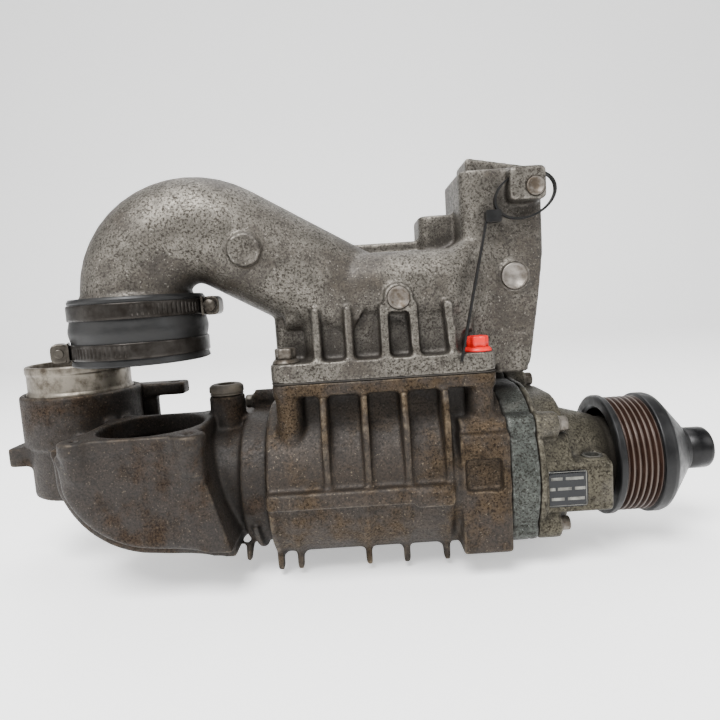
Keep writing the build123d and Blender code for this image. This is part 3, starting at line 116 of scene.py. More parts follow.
def mesh_object(name, points, faces, smooth=True):
    """An object at the origin from vertex and face arrays; a closed shell ends facing out."""
    mesh = bpy.data.meshes.new(name)
    mesh.from_pydata(np.asarray(points).reshape(-1, 3).tolist(), [], [list(f) for f in faces])
    work = bmesh.new()
    work.from_mesh(mesh)
    bmesh.ops.remove_doubles(work, verts=work.verts, dist=1e-7)
    bmesh.ops.dissolve_degenerate(work, dist=1e-8, edges=work.edges)
    bmesh.ops.recalc_face_normals(work, faces=work.faces)
    work.to_mesh(mesh)
    work.free()
    mesh.polygons.foreach_set("use_smooth", [smooth] * len(mesh.polygons))
    made = bpy.data.objects.new(name, mesh)
    bpy.context.scene.collection.objects.link(made)
    return made


def grid_faces(rows, columns, close_rows=False, close_columns=True, start=0):
    """Quads of a grid of points, row after row, wrapping round where it is closed."""
    row = np.arange(rows if close_rows else rows - 1)
    column = np.arange(columns if close_columns else columns - 1)
    i, j = np.meshgrid(row, column, indexing="ij")
    i2, j2 = (i + 1) % rows, (j + 1) % columns
    quads = np.stack([i * columns + j, i * columns + j2, i2 * columns + j2, i2 * columns + j], -1)
    return (quads.reshape(-1, 4) + start).tolist()


def lathe(profile, centre, axis, steps=128, closed=True):
    """Surface of revolution: profile points (along, radius) turned about an axis at a centre.
    Point = centre + along*axis + radius*(cos a * side + sin a * up)."""
    profile = np.array(profile, float) * MM
    axis = np.array(axis, float)
    side = np.array([0.0, 1, 0]) if abs(axis[0]) > 0.5 else np.array([1.0, 0, 0])
    up = np.cross(axis, side)
    angle = np.linspace(0, TAU, steps, endpoint=False)
    ring = np.cos(angle)[:, None] * side + np.sin(angle)[:, None] * up
    points = (
        np.array(centre, float) * MM
        + profile[:, 0, None, None] * axis
        + profile[:, 1, None, None] * ring[None]
    )
    return points, grid_faces(len(profile), steps, close_rows=closed)


def rounded_profile(corners, radius, bits=4):
    """A closed profile whose corners are rounded: each corner becomes a quadratic curve between
    the points one radius away along its two sides."""
    corners = np.array(corners, float)
    before = np.roll(corners, 1, 0) - corners
    after = np.roll(corners, -1, 0) - corners
    reach_before = np.minimum(radius, np.linalg.norm(before, axis=1) * 0.45)[:, None]
    reach_after = np.minimum(radius, np.linalg.norm(after, axis=1) * 0.45)[:, None]
    first = corners + before / np.linalg.norm(before, axis=1)[:, None] * reach_before
    last = corners + after / np.linalg.norm(after, axis=1)[:, None] * reach_after
    t = np.linspace(0, 1, bits)[None, :, None]
    curve = (1 - t) ** 2 * first[:, None] + 2 * t * (1 - t) * corners[:, None] + t**2 * last[:, None]
    return curve.reshape(-1, 2)


def bar(start, end, size_start, size_end, square=4.0, across=(0, 1, 0), steps=40, rows=9):
    """Tapered bar with softly rounded ends: a superellipse |u/a|^n + |v/b|^n = 1 carried from
    start to end while its half sizes a and b change evenly; each end closes to a point."""
    start, end = np.array(start, float) * MM, np.array(end, float) * MM
    along = (end - start) / np.linalg.norm(end - start)
    across = np.array(across, float)
    across -= along * across.dot(along)
    across /= np.linalg.norm(across)
    third = np.cross(along, across)
    angle = np.linspace(0, TAU, steps, endpoint=False)
    c, s = np.cos(angle), np.sin(angle)
    ring_u = np.sign(c) * np.abs(c) ** (2 / square)
    ring_v = np.sign(s) * np.abs(s) ** (2 / square)
    t = np.concatenate([[0, 0.0], np.linspace(0, 1, rows), [1.0, 1]])
    shrink = np.concatenate([[1e-4, 0.8], np.ones(rows), [0.8, 1e-4]])
    sizes = (np.array(size_start) * (1 - t)[:, None] + np.array(size_end) * t[:, None]) * MM
    sizes = sizes * shrink[:, None]
    middle = start + t[:, None] * (end - start)
    points = (
        middle[:, None]
        + sizes[:, 0, None, None] * ring_u[None, :, None] * across
        + sizes[:, 1, None, None] * ring_v[None, :, None] * third
    )
    return points, grid_faces(len(t), steps)


def torus(centre, axis, radius, tube, steps=48):
    """Ring: a circle of the tube's radius turned about an axis."""
    angle = np.linspace(0, TAU, 16, endpoint=False)
    profile = np.stack([tube * np.cos(angle), radius + tube * np.sin(angle)], -1)
    return lathe(profile, centre, axis, steps)


def joined(shapes):
    """Several (points, faces) shapes as one pair of lists."""
    points, faces, start = [], [], 0
    for shape_points, shape_faces in shapes:
        flat = np.asarray(shape_points).reshape(-1, 3)
        points.append(flat)
        faces += [[index + start for index in face] for face in shape_faces]
        start += len(flat)
    return np.concatenate(points), faces


def merged_copy(node):
    """Vertices and faces of a CAD node's mesh with its loose triangles joined."""
    work = bmesh.new()
    work.from_mesh(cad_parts[node].data)
    bmesh.ops.remove_doubles(work, verts=work.verts, dist=2e-6)
    work.verts.ensure_lookup_table()
    points = np.array([v.co[:] for v in work.verts])
    faces = [[v.index for v in f.verts] for f in work.faces]
    work.free()
    return points, faces


def relaxed(points, edges, weight, rounds):
    """Each round moves every vertex towards the mean of its neighbours by its weight."""
    count = np.bincount(edges.ravel(), minlength=len(points))[:, None]
    for _ in range(rounds):
        total = np.stack(
            [
                np.bincount(edges[:, 0], points[edges[:, 1], k], len(points))
                + np.bincount(edges[:, 1], points[edges[:, 0], k], len(points))
                for k in range(3)
            ],
            -1,
        )
        points = points + weight[:, None] * (total / count - points)
    return points


def casting(name, node, extras, voxel, rounds, weigh=None, keep_clear=None):
    """A cast piece: the CAD shape and its extra ribs and bosses melted into one skin of small
    quads, then relaxed so that inner corners get fillets and edges a cast roundness."""
    points, faces = joined([merged_copy(node), *extras]) if extras else merged_copy(node)
    rough = bpy.data.meshes.new(name + "_rough")
    rough.from_pydata(points.tolist(), [], faces)
    holder = bpy.data.objects.new(name + "_rough", rough)
    bpy.context.scene.collection.objects.link(holder)
    melt = holder.modifiers.new("melt", "REMESH")
    melt.mode = "VOXEL"
    melt.voxel_size = voxel
    melt.adaptivity = 0
    bpy.context.view_layer.update()
    evaluated = holder.evaluated_get(bpy.context.evaluated_depsgraph_get())
    mesh = bpy.data.meshes.new_from_object(evaluated)
    bpy.data.objects.remove(holder)
    co = np.empty(len(mesh.vertices) * 3)
    mesh.vertices.foreach_get("co", co)
    co = co.reshape(-1, 3)
    edges = np.empty(len(mesh.edges) * 2, int)
    mesh.edges.foreach_get("vertices", edges)
    edges = edges.reshape(-1, 2)
    weight = np.full(len(co), 0.5)
    co = relaxed(co, edges, weight, rounds)
    for region, extra_rounds in weigh or []:
        co = relaxed(co, edges, weight * region(co), extra_rounds)
    if keep_clear:
        co = keep_clear(co)
    mesh.vertices.foreach_set("co", co.ravel())
    mesh.polygons.foreach_set("use_smooth", [True] * len(mesh.polygons))
    mesh.name = name
    made = bpy.data.objects.new(name, mesh)
    bpy.context.scene.collection.objects.link(made)
    return made


def settle(piece, body, slot, nodes, material):
    """Puts a finished piece into the frame: material, body and replaced nodes; the slot argument is not used."""
    piece.data.materials.clear()
    piece.data.materials.append(material)
    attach(piece, body)
    if nodes:
        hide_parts(*nodes)
    return piece


def within(values, low, high, soft):
    """1 inside the range and 0 outside, with a straight fade of the soft width."""
    return np.clip((values - low) / soft + 1, 0, 1) * np.clip((high - values) / soft + 1, 0, 1)


# ---- materials --------------------------------------------------------------------------------


def cast_aluminium(name, clean, stain, dirt, worn, staining=0.5, rough=0.55, grain=0.3):
    """Sand-cast aluminium, left as cast: dull grey skin with pin pits, brown oil stains in broad
    blotches, painted shade that darkens corners and recesses towards the dirt colour, and bright
    metal where edges have been rubbed."""

    def links(tree):
        spot = add(tree, "TexCoord").outputs["Object"]
        blotch = add(tree, "TexNoise", {"Vector": spot, "Scale": per_mm(38), "Detail": 6, "Roughness": 0.62})
        stained = add(
            tree,
            "MapRange",
            {0: blotch.outputs[0], 1: 0.62 - 0.3 * staining, 2: 0.78 - 0.3 * staining},
            interpolation_type="SMOOTHSTEP",
        )
        mottle = add(tree, "TexNoise", {"Vector": spot, "Scale": per_mm(7), "Detail": 5, "Roughness": 0.7})
        grit = add(tree, "TexNoise", {"Vector": spot, "Scale": per_mm(1.3), "Detail": 4, "Roughness": 0.7})
        flecks = add(tree, "TexNoise", {"Vector": spot, "Scale": per_mm(1.1), "Detail": 2, "Distortion": 0.4})
        shade = add(tree, "MapRange", {0: mottle.outputs[0], 1: 0.3, 2: 0.7, 3: 0.5, 4: 1.25})
        base = add(tree, "Mix", {0: stained.outputs[0], 6: clean, 7: stain}, data_type="RGBA")
        toned = add(
            tree,
            "Mix",
            {0: 1.0, 6: base.outputs[2], 7: shade.outputs[0]},
            data_type="RGBA",
            blend_type="MULTIPLY",
        )
        pits = add(tree, "MapRange", {0: grit.outputs[0], 1: 0.47, 2: 0.6, 3: 0.0, 4: 0.85})
        pitted = add(tree, "Mix", {0: pits.outputs[0], 6: toned.outputs[2], 7: dirt}, data_type="RGBA")
        # Painted glints: bright specks in the worn colour, painted highlights on the cast skin.
        glints = add(tree, "MapRange", {0: flecks.outputs[0], 1: 0.36, 2: 0.27, 3: 0.0, 4: 0.4})
        specked = add(tree, "Mix", {0: glints.outputs[0], 6: pitted.outputs[2], 7: worn}, data_type="RGBA")
        # Painted shade: ambient occlusion darkens corners and recesses towards the dirt colour.
        open_air = add(tree, "AmbientOcclusion", {"Distance": 20 * MM}, samples=6)
        corner = add(tree, "MapRange", {0: open_air.outputs[1], 1: 0.82, 2: 0.35, 3: 0.0, 4: 0.95})
        darkened = add(tree, "Mix", {0: corner.outputs[0], 6: specked.outputs[2], 7: dirt}, data_type="RGBA")
        edge = add(tree, "NewGeometry").outputs["Pointiness"]
        rubbed = add(tree, "MapRange", {0: edge, 1: 0.525, 2: 0.6, 3: 0.0, 4: 0.75})
        broken = add(tree, "MapRange", {0: mottle.outputs[0], 1: 0.42, 2: 0.6})
        wear = add(tree, "Math", {0: rubbed.outputs[0], 1: broken.outputs[0]}, operation="MULTIPLY")
        colour = add(tree, "Mix", {0: wear.outputs[0], 6: darkened.outputs[2], 7: worn}, data_type="RGBA")
        # Metallic falls where the skin is stained or carries the painted corner shade.
        stain_and_shade = add(tree, "Math", {0: stained.outputs[0], 1: corner.outputs[0]}, operation="MAXIMUM")
        metal = add(tree, "MapRange", {0: stain_and_shade.outputs[0], 3: 0.85, 4: 0.35})
        roughness = add(tree, "MapRange", {0: grit.outputs[0], 1: 0.3, 2: 0.7, 3: rough - 0.1, 4: rough + 0.2})
        coarse = add(tree, "Bump", {"Height": mottle.outputs[0], "Strength": grain, "Distance": 0.9 * MM})
        fine = add(
            tree,
            "Bump",
            {"Height": grit.outputs[0], "Strength": grain, "Distance": 0.35 * MM, "Normal": coarse.outputs[0]},
        )
        return {
            "Base Color": colour.outputs[2],
            "Metallic": metal.outputs[0],
            "Roughness": roughness.outputs[0],
            "Normal": fine.outputs[0],
        }

    return new_material(name, links, {})


def worked_metal(name, base, tint, rough, metallic=1.0, grain_mm=1.2, bump=0.15, coat=0.0):
    """Metal with a worked skin, such as plated, ground or turned steel: an even tone with fine
    tool grain, thin dirt in blotches and a slightly uneven shine."""

    def links(tree):
        spot = add(tree, "TexCoord").outputs["Object"]
        cloud = add(tree, "TexNoise", {"Vector": spot, "Scale": per_mm(9), "Detail": 5, "Roughness": 0.65})
        fine = add(tree, "TexNoise", {"Vector": spot, "Scale": per_mm(grain_mm), "Detail": 3})
        dirt = add(tree, "MapRange", {0: cloud.outputs[0], 1: 0.42, 2: 0.66})
        colour = add(tree, "Mix", {0: dirt.outputs[0], 6: base, 7: tint}, data_type="RGBA")
        roughness = add(tree, "MapRange", {0: cloud.outputs[0], 1: 0.3, 2: 0.7, 3: rough - 0.08, 4: rough + 0.18})
        relief = add(tree, "Bump", {"Height": fine.outputs[0], "Strength": bump, "Distance": 0.2 * MM})
        return {
            "Base Color": colour.outputs[2],
            "Roughness": roughness.outputs[0],
            "Normal": relief.outputs[0],
        }

    return new_material(name, links, {"Metallic": metallic, "Coat Weight": coat})


def moulded(name, base, dust, rough, grain_mm=0.8, bump=0.2, dusting=0.5):
    """Moulded rubber or plastic: an even dark body with a matt skin, mould grain and pale dust
    that gathers in soft patches."""

    def links(tree):
        spot = add(tree, "TexCoord").outputs["Object"]
        cloud = add(tree, "TexNoise", {"Vector": spot, "Scale": per_mm(14), "Detail": 6, "Roughness": 0.7})
        fine = add(tree, "TexNoise", {"Vector": spot, "Scale": per_mm(grain_mm), "Detail": 2})
        dusty = add(tree, "MapRange", {0: cloud.outputs[0], 1: 0.45, 2: 0.75, 3: 0.0, 4: dusting})
        colour = add(tree, "Mix", {0: dusty.outputs[0], 6: base, 7: dust}, data_type="RGBA")
        roughness = add(tree, "MapRange", {0: cloud.outputs[0], 1: 0.3, 2: 0.7, 3: rough - 0.1, 4: rough + 0.12})
        relief = add(tree, "Bump", {"Height": fine.outputs[0], "Strength": bump, "Distance": 0.2 * MM})
        return {
            "Base Color": colour.outputs[2],
            "Roughness": roughness.outputs[0],
            "Normal": relief.outputs[0],
        }

    return new_material(name, links, {"Metallic": 0.0, "Specular IOR Level": 0.3})


def rusty_grooves(name):
    """Black-coated steel pulley: a satin coat worn thin, brown rust on the belt track's flanks
    and bare metal on its crests, told apart by the distance from the axis."""

    def links(tree):
        spot = add(tree, "TexCoord").outputs["Object"]
        axes = add(tree, "SeparateXYZ", {0: spot})
        flat = add(tree, "CombineXYZ", {1: axes.outputs[1], 2: axes.outputs[2]})
        radius = add(tree, "VectorMath", {0: flat.outputs[0]}, operation="LENGTH").outputs["Value"]
        along = add(tree, "Math", {0: axes.outputs[0], 1: 0.0}, operation="ADD").outputs[0]
        away = add(tree, "Math", {0: along}, operation="ABSOLUTE").outputs[0]
        track = add(tree, "MapRange", {0: away, 1: 11.2 * MM, 2: 10.6 * MM})
        cloud = add(tree, "TexNoise", {"Vector": spot, "Scale": per_mm(6), "Detail": 6, "Roughness": 0.7})
        rust = add(
            tree,
            "Mix",
            {0: cloud.outputs[0], 6: linear("#120c0a"), 7: linear("#3b2419")},
            data_type="RGBA",
        )
        crest = add(tree, "MapRange", {0: radius, 1: 36.9 * MM, 2: 37.25 * MM})
        flank = add(
            tree, "Mix", {0: crest.outputs[0], 6: rust.outputs[2], 7: linear("#4b4038")}, data_type="RGBA"
        )
        wear = add(tree, "MapRange", {0: cloud.outputs[0], 1: 0.52, 2: 0.72, 3: 0.0, 4: 0.6})
        coat = add(tree, "Mix", {0: wear.outputs[0], 6: linear("#0c0c0d"), 7: linear("#232221")}, data_type="RGBA")
        colour = add(tree, "Mix", {0: track.outputs[0], 6: coat.outputs[2], 7: flank.outputs[2]}, data_type="RGBA")
        roughness = add(tree, "MapRange", {0: cloud.outputs[0], 1: 0.3, 2: 0.7, 3: 0.3, 4: 0.55})
        metal = add(tree, "MapRange", {0: track.outputs[0], 3: 0.5, 4: 0.35})
        relief = add(tree, "Bump", {"Height": cloud.outputs[0], "Strength": 0.15, "Distance": 0.3 * MM})
        return {
            "Base Color": colour.outputs[2],
            "Roughness": roughness.outputs[0],
            "Metallic": metal.outputs[0],
            "Normal": relief.outputs[0],
        }

    return new_material(name, links, {})


# ---- settings -----------------------------------------------------------------------------------


def colour_setting(label, about, code):
    """A colour property whose default is an sRGB hex value."""
    return bpy.props.FloatVectorProperty(
        name=label, description=about, subtype="COLOR", size=4, min=0, max=1, default=linear(code)
    )


def length_setting(label, about, size):
    """A length property whose default is given in millimetres."""
    return bpy.props.FloatProperty(name=label, description=about, unit="LENGTH", default=size * MM)


class BlowerSizes(bpy.types.PropertyGroup):
    """Sizes of the visible details."""

    skin_cell: length_setting("Skin cell", "Size of the quads that make up a cast skin", 1.35)
    hose_bulge: length_setting("Hose bulge", "How far the hose swells between its clamps", 1.2)
    floor_gap: length_setting("Floor gap", "Space between the lowest point and the floor", 0.5)
    fillet_rounds: bpy.props.IntProperty(
        name="Fillet rounds", description="How many times a cast skin is relaxed", default=3, min=0
    )


class BlowerColours(bpy.types.PropertyGroup):
    """Colours of the visible finishes."""

    duct_skin: colour_setting("Duct skin", "Weathered silver skin of the outlet duct", "#67635c")
    duct_stain: colour_setting("Duct stain", "Brown-grey stains on the outlet duct", "#3a342c")
    housing_skin: colour_setting("Housing skin", "Oil-stained skin of the rotor housing", "#44382a")
    housing_stain: colour_setting("Housing stain", "Dark brown stains on the rotor housing", "#291f15")
    inlet_skin: colour_setting("Inlet skin", "Dark skin of the inlet housing", "#34291f")
    inlet_stain: colour_setting("Inlet stain", "Brown stains on the inlet housing", "#1f1710")
    cover_skin: colour_setting("Cover skin", "Olive-grey skin of the front cover", "#4e4a3f")
    plate_skin: colour_setting("Plate skin", "Blue-grey skin of the bearing plate", "#474a46")
    marking_paint: colour_setting("Marking paint", "Red paint on one duct bolt", "#d01616")


def sizes():
    """The scene's size settings."""
    return bpy.context.scene.blower_sizes


def colours():
    """The scene's colour settings."""
    return bpy.context.scene.blower_colours


# ---- castings -----------------------------------------------------------------------------------


class BLOWER_OT_rotor_housing(bpy.types.Operator):
    """Cast rotor housing with its upright ribs, ledge, gussets and bolt bosses"""

    bl_idname = "blower.rotor_housing"
    bl_label = "Rotor housing"

    def execute(self, context):
        def clear_of_rotors(co):
            """Pushes the bores' skin back outside the rotors' reach."""
            side = np.where(co[:, 1] > 32 * MM, 64 * MM, 0.0)
            flat = np.stack([co[:, 1] - side, co[:, 2]], -1)
            away = np.linalg.norm(flat, axis=1)
            bore = 43.4 * MM
            inside = (co[:, 0] > -215.2 * MM) & (away < bore) & (away > bore - 3 * MM)
            flat[inside] *= (bore / away[inside])[:, None]
            co[:, 1], co[:, 2] = flat[:, 0] + side, flat[:, 1]
            return co

        extras = [bar((-141, -57, -3.5), (-119, -57, -3.5), (4.5, 1.6), (4.5, 1.6), 7, (0, 0, 1))]
        piece = casting(
            "rotor_housing_skin",
            "rotor_housing",
            extras,
            sizes().skin_cell,
            sizes().fillet_rounds,
            keep_clear=clear_of_rotors,
        )
        settle(
            piece,
            "casing",
            "cast_housing",
            ["rotor_housing"],
            cast_aluminium(
                "cast aluminium, oil-stained",
                tuple(colours().housing_skin),
                tuple(colours().housing_stain),
                linear("#15100b"),
                linear("#857864"),
                staining=0.75,
                rough=0.6,
            ),
        )
        return {"FINISHED"}


class BLOWER_OT_inlet_housing(bpy.types.Operator):
    """Cast inlet housing: scoop, bypass flange with its columns, air tower, lugs and vent boss"""

    bl_idname = "blower.inlet_housing"
    bl_label = "Inlet housing"

    def execute(self, context):
        extras = [
            bar((-331.5, -56, 36), (-331.5, -52, -4), (7.5, 7.5), (2, 2), square=2),
            bar((-267.5, -56, 36), (-268.5, -52, 0), (7.5, 7.5), (2, 2), square=2),
            bar((-246, -20, -38), (-246, -26, -47), (2.5, 4), (1.5, 3), across=(1, 0, 0)),
        ]

        def scoop_front(co):
            """The scoop's front edge and underside, which curve like an elbow."""
            return (
                within(co[:, 0], -352 * MM, -272 * MM, 8 * MM)
                * within(co[:, 1], -90 * MM, -34 * MM, 10 * MM)
                * within(co[:, 2], -60 * MM, 26 * MM, 6 * MM)
            )

        piece = casting(
            "inlet_housing_skin",
            "inlet_housing",
            extras,
            sizes().skin_cell,
            sizes().fillet_rounds,
            weigh=[(scoop_front, 45)],
        )
        settle(
            piece,
            "casing",
            "cast_inlet",
            ["inlet_housing"],
            cast_aluminium(
                "cast aluminium, dark with oil",
                tuple(colours().inlet_skin),
                tuple(colours().inlet_stain),
                linear("#120e0a"),
                linear("#6d6150"),
                staining=0.8,
                rough=0.6,
            ),
        )
        return {"FINISHED"}


class BLOWER_OT_outlet_duct(bpy.types.Operator):
    """Cast outlet duct: flange, ribbed plenum, curved pipe and the box at its right"""

    bl_idname = "blower.outlet_duct"
    bl_label = "Outlet duct"

    def execute(self, context):
        extras = [torus((x, -30.2, z), (0, 1, 0), 3.0, 0.75) for x, z in ((-191, 92), (-166, 93), (-146, 94), (-127, 94))]
        extras += [torus((-229, -51.6, 144), (0, 1, 0), 8.2, 1.1)]
        extras += [bar((-200, 27, 115.8), (-165, 27, 115.8), (11, 2.1), (11, 2.1), 8, (0, 1, 0))]
        piece = casting(
            "outlet_duct_skin", "outlet_duct", extras, sizes().skin_cell, sizes().fillet_rounds
        )
        settle(
            piece,
            "casing",
            "cast_duct",
            ["outlet_duct"],
            cast_aluminium(
                "cast aluminium, weathered silver",
                tuple(colours().duct_skin),
                tuple(colours().duct_stain),
                linear("#1e1914"),
                linear("#a8a299"),
                staining=0.5,
                rough=0.5,
            ),
        )
        return {"FINISHED"}


class BLOWER_OT_front_cover(bpy.types.Operator):
    """Cast front cover with its gear case, snout, label pad and lug"""

    bl_idname = "blower.front_cover"
    bl_label = "Front cover"

    def execute(self, context):
        piece = casting("front_cover_skin", "front_cover", [], sizes().skin_cell, sizes().fillet_rounds)
        settle(
            piece,
            "casing",
            "cast_cover",
            ["front_cover"],
            cast_aluminium(
                "cast aluminium, dull olive",
                tuple(colours().cover_skin),
                linear("#454035"),
                linear("#1b1712"),
                linear("#8b8678"),
                staining=0.45,
                rough=0.55,
            ),
        )
        return {"FINISHED"}


class BLOWER_OT_bearing_plate(bpy.types.Operator):
    """Cast bearing plate between the housing and the cover"""

    bl_idname = "blower.bearing_plate"
    bl_label = "Bearing plate"

    def execute(self, context):
        piece = casting("bearing_plate_skin", "bearing_plate", [], sizes().skin_cell, 2)
        settle(
            piece,
            "casing",
            "cast_plate",
            ["bearing_plate"],
            cast_aluminium(
                "cast aluminium, blue-grey",
                tuple(colours().plate_skin),
                linear("#43423c"),
                linear("#1d1a16"),
                linear("#8f928f"),
                staining=0.35,
                rough=0.5,
            ),
        )
        return {"FINISHED"}


# ---- turned and moulded pieces ------------------------------------------------------------------

PIPE = (-299.5, -25.0)
TOWER = (-366.0, 30.0)
BOSS = (-257.0, 0.0)


class BLOWER_OT_spigot_and_nipple(bpy.types.Operator):
    """Turned air spigot with its beaded rim, and the moulded vent nipple"""

    bl_idname = "blower.spigot_and_nipple"
    bl_label = "Spigot and nipple"

    def execute(self, context):
        wall = [(41, 31.4), (81, 31.4), (81, 33.2), (80, 34), (76, 34), (75, 33.4), (64, 33.4), (63, 34), (61.9, 34.5), (41, 34.5)]
        shape = lathe(rounded_profile(wall, 0.8), (*TOWER, 0), (0, 0, 1), 160)
        settle(
            mesh_object("inlet_spigot_turned", *shape),
            "casing",
            "machined_tube",
            ["inlet_spigot"],
            worked_metal("turned aluminium, dull", linear("#756f65"), linear("#3d362d"), 0.42, 0.85, 0.9, 0.2),
        )
        wall = [(45, 5.5), (63, 5.5), (63, 9.2), (61.5, 11.0), (58, 11.2), (57.2, 10.2), (56.4, 11.2), (56, 8), (45, 8)]
        shape = lathe(rounded_profile(wall, 0.7), (*BOSS, 0), (0, 0, 1), 72)
        settle(
            mesh_object("vent_nipple_moulded", *shape),
            "casing",
            "nipple_rubber",
            ["vent_nipple"],
            moulded("moulded rubber, dusty", linear("#3a352f"), linear("#6d6557"), 0.7),
        )
        return {"FINISHED"}


class BLOWER_OT_hose(bpy.types.Operator):
    """Rubber coupling hose, swelling between its clamps"""

    bl_idname = "blower.hose"
    bl_label = "Coupling hose"

    def execute(self, context):
        swell = sizes().hose_bulge / MM
        height = np.linspace(84.6, 121.8, 60)
        middle = 0.5 * (1 + np.cos(np.clip((height - 103.5) / 7.5, -1, 1) * np.pi))
        ends = np.clip((height - 119.5) / 2.5, 0, 1) + np.clip((88 - height) / 3.4, 0, 1)
        radius = 38.75 + swell * middle + 0.9 * np.minimum(ends, 1) - 1.2 * np.clip((height - 120.6) / 1.2, 0, 1)
        outside = np.stack([height, radius], -1)
        profile = np.concatenate([[[84.2, 34]], [[84, 38.4]], outside, [[122.4, 38]], [[122.5, 33.6]], [[84.2, 33.6]]])
        shape = lathe(profile, (*PIPE, 0), (0, 0, 1), 144)
        settle(
            mesh_object("coupling_hose_moulded", *shape),
            "casing",
            "hose_rubber",
            ["coupling_hose"],
            moulded("moulded rubber, black", linear("#0b0b0b"), linear("#262422"), 0.45, dusting=0.35),
        )
        return {"FINISHED"}


class BLOWER_OT_clamps(bpy.types.Operator):
    """Worm-drive hose clamps: slotted bands, screw housings and their screws"""

    bl_idname = "blower.clamps"
    bl_label = "Hose clamps"

    def execute(self, context):
        band_finish = worked_metal("rolled steel band, stained", linear("#2c2926"), linear("#15100b"), 0.36, 0.8, 0.9)
        screw_finish = worked_metal("plated steel, dirty", linear("#4b4741"), linear("#241f1a"), 0.4, 0.9, 0.9)
        for name, low, turn in (("upper", 110.0, 0.0), ("lower", 88.0, np.radians(203))):
            steps = 720
            angle = np.linspace(0, TAU, steps, endpoint=False)
            height = np.array([0, 0.05, 0.5, 1.7, 2.1, 4.5, 6.9, 7.3, 8.5, 8.95, 9.0])
            outer = np.array([39.0, 39.5, 39.75, 39.75, 39.75, 39.75, 39.75, 39.75, 39.75, 39.5, 39.0])
            slot_rows = within(height, 2.1, 6.9, 0.2)[:, None]
            slot_turns = (np.sin(angle * 90) > 0.1).astype(float)[None]
            near = np.cos(angle - turn)[None]
            slotted = np.clip((near - 0.2) / 0.05, 0, 1)
            radius = outer[:, None] - 0.45 * slot_rows * slot_turns * slotted
            inner = np.full((2, steps), 38.95)
            radius = np.concatenate([radius, inner])
            level = np.concatenate([height, [9.0, 0.0]]) + low
            points = np.stack(
                [
                    PIPE[0] + radius * np.cos(angle),
                    PIPE[1] + radius * np.sin(angle),
                    np.broadcast_to(level[:, None], radius.shape),
                ],
                -1,
            )
            shape = (points * MM, grid_faces(len(level), steps, close_rows=True))
            settle(
                mesh_object(f"{name}_clamp_band_slotted", *shape),
                "casing",
                "band_steel",
                [f"{name}_clamp_band"],
                band_finish,
            )
            out = np.array([np.cos(turn), np.sin(turn), 0])
            along = np.array([-np.sin(turn), np.cos(turn), 0])
            foot = np.array([*PIPE, low + 4.5]) + out * 39.8
            worm = foot + out * 5.3
            shapes = [
                bar(foot - along * 6.4 + out * 5.2, foot + along * 6.4 + out * 5.2, (4.6, 5.6), (4.6, 5.6), 3.2, out, 48),
                bar(foot - along * 9.5 + out * 0.7, foot + along * 9.5 + out * 0.7, (0.7, 5.6), (0.7, 5.6), 5, out, 48),
            ]
            settle(
                mesh_object(f"{name}_clamp_housing_pressed", *joined(shapes)),
                "casing",
                "clamp_steel",
                [f"{name}_clamp_housing"],
                screw_finish,
            )
            head = worm - along * 11.5
            shapes = [
                hexagon(head, head + along * 4.6, 3.6),
                bar(worm - along * 8, worm + along * 7.4, (2.5, 2.5), (2.5, 2.5), 2, out, 32),
            ]
            settle(
                mesh_object(f"{name}_clamp_screw_hex", *joined(shapes)),
                f"{name}_screw",
                "clamp_steel",
                [f"{name}_clamp_screw"],
                screw_finish,
            )
        return {"FINISHED"}


def hexagon(start, end, flat_radius, chamfer=0.35, steps=72):
    """Hexagon head: the radius at angle a is flat/cos(a mod 60 - 30), held back near the end by
    a cone, so the corners are chamfered in curved arcs as a turned head's are."""
    start, end = np.array(start, float), np.array(end, float)
    length = np.linalg.norm(end - start)
    along = (end - start) / length
    across = np.cross(along, (0.31, 0.95, 0.07))
    across /= np.linalg.norm(across)
    third = np.cross(along, across)
    angle = np.linspace(0, TAU, steps, endpoint=False)
    hexed = flat_radius / np.cos((angle % (TAU / 6)) - TAU / 12)
    t = np.array([0, 0, 0.12, 0.4, 0.7, 0.85, 0.94, 1.0, 1.0])
    cone = flat_radius * (1.155 - chamfer * np.clip(0.3 - t * length / flat_radius, 0, 1))
    cone[[0, -1]] = 1e-3
    cone[1] = flat_radius * 0.94
    radius = np.minimum(hexed[None], cone[:, None])
    points = start + t[:, None, None] * length * along + radius[..., None] * (
        np.cos(angle)[None, :, None] * across + np.sin(angle)[None, :, None] * third
    )
    return points * MM, grid_faces(len(t), steps)


def star(start, end, radius, steps=144):
    """Six-lobed bolt head: the radius at angle a is r*(1 + 0.09*cos 6a), rounded in at the top
    rim and dished at the centre."""
    start, end = np.array(start, float), np.array(end, float)
    across, third = np.array([1.0, 0, 0]), np.array([0, 1.0, 0])
    angle = np.linspace(0, TAU, steps, endpoint=False)
    t = np.array([0, 0, 0.5, 0.86, 0.96, 1.0, 1.0, 0.82, 0.8])
    share = np.array([1e-3, 1.0, 1.0, 1.0, 0.95, 0.86, 0.5, 0.42, 1e-3])
    depth = np.array([0, 1, 1, 1, 1, 0.9, 0.3, 0, 0]) * 0.09
    reach = radius * share[:, None] * (1 + depth[:, None] * np.cos(6 * angle)[None])
    points = start + t[:, None, None] * (end - start) + reach[..., None] * (
        np.cos(angle)[None, :, None] * across + np.sin(angle)[None, :, None] * third
    )
    return points * MM, grid_faces(len(t), steps)


def screw_head(seat, outward, scale, lobed=False):
    """Flanged bolt: a dished washer face under a chamfered hexagon or a lobed head."""
    seat, outward = np.array(seat, float), np.array(outward, float)
    washer = [(0, 0.0), (0, 8.2), (0.7, 8.2), (1.4, 7.7), (2.4, 6.9), (2.6, 0.0)]
    profile = np.array(washer) * scale
    profile[[0, -1], 1] = 1e-3
    top = seat + outward * 8.9 * scale
    foot = seat + outward * 2.0 * scale
    return [
        lathe(profile, seat, outward, 72, closed=False),
        star(foot, top, 5.9 * scale) if lobed else hexagon(top, foot, 6.0 * scale),
        lathe([(-12, 1e-3), (-12, 3.0 * scale), (0, 3.0 * scale), (0, 1e-3)], seat, outward, 32, closed=False),
    ]


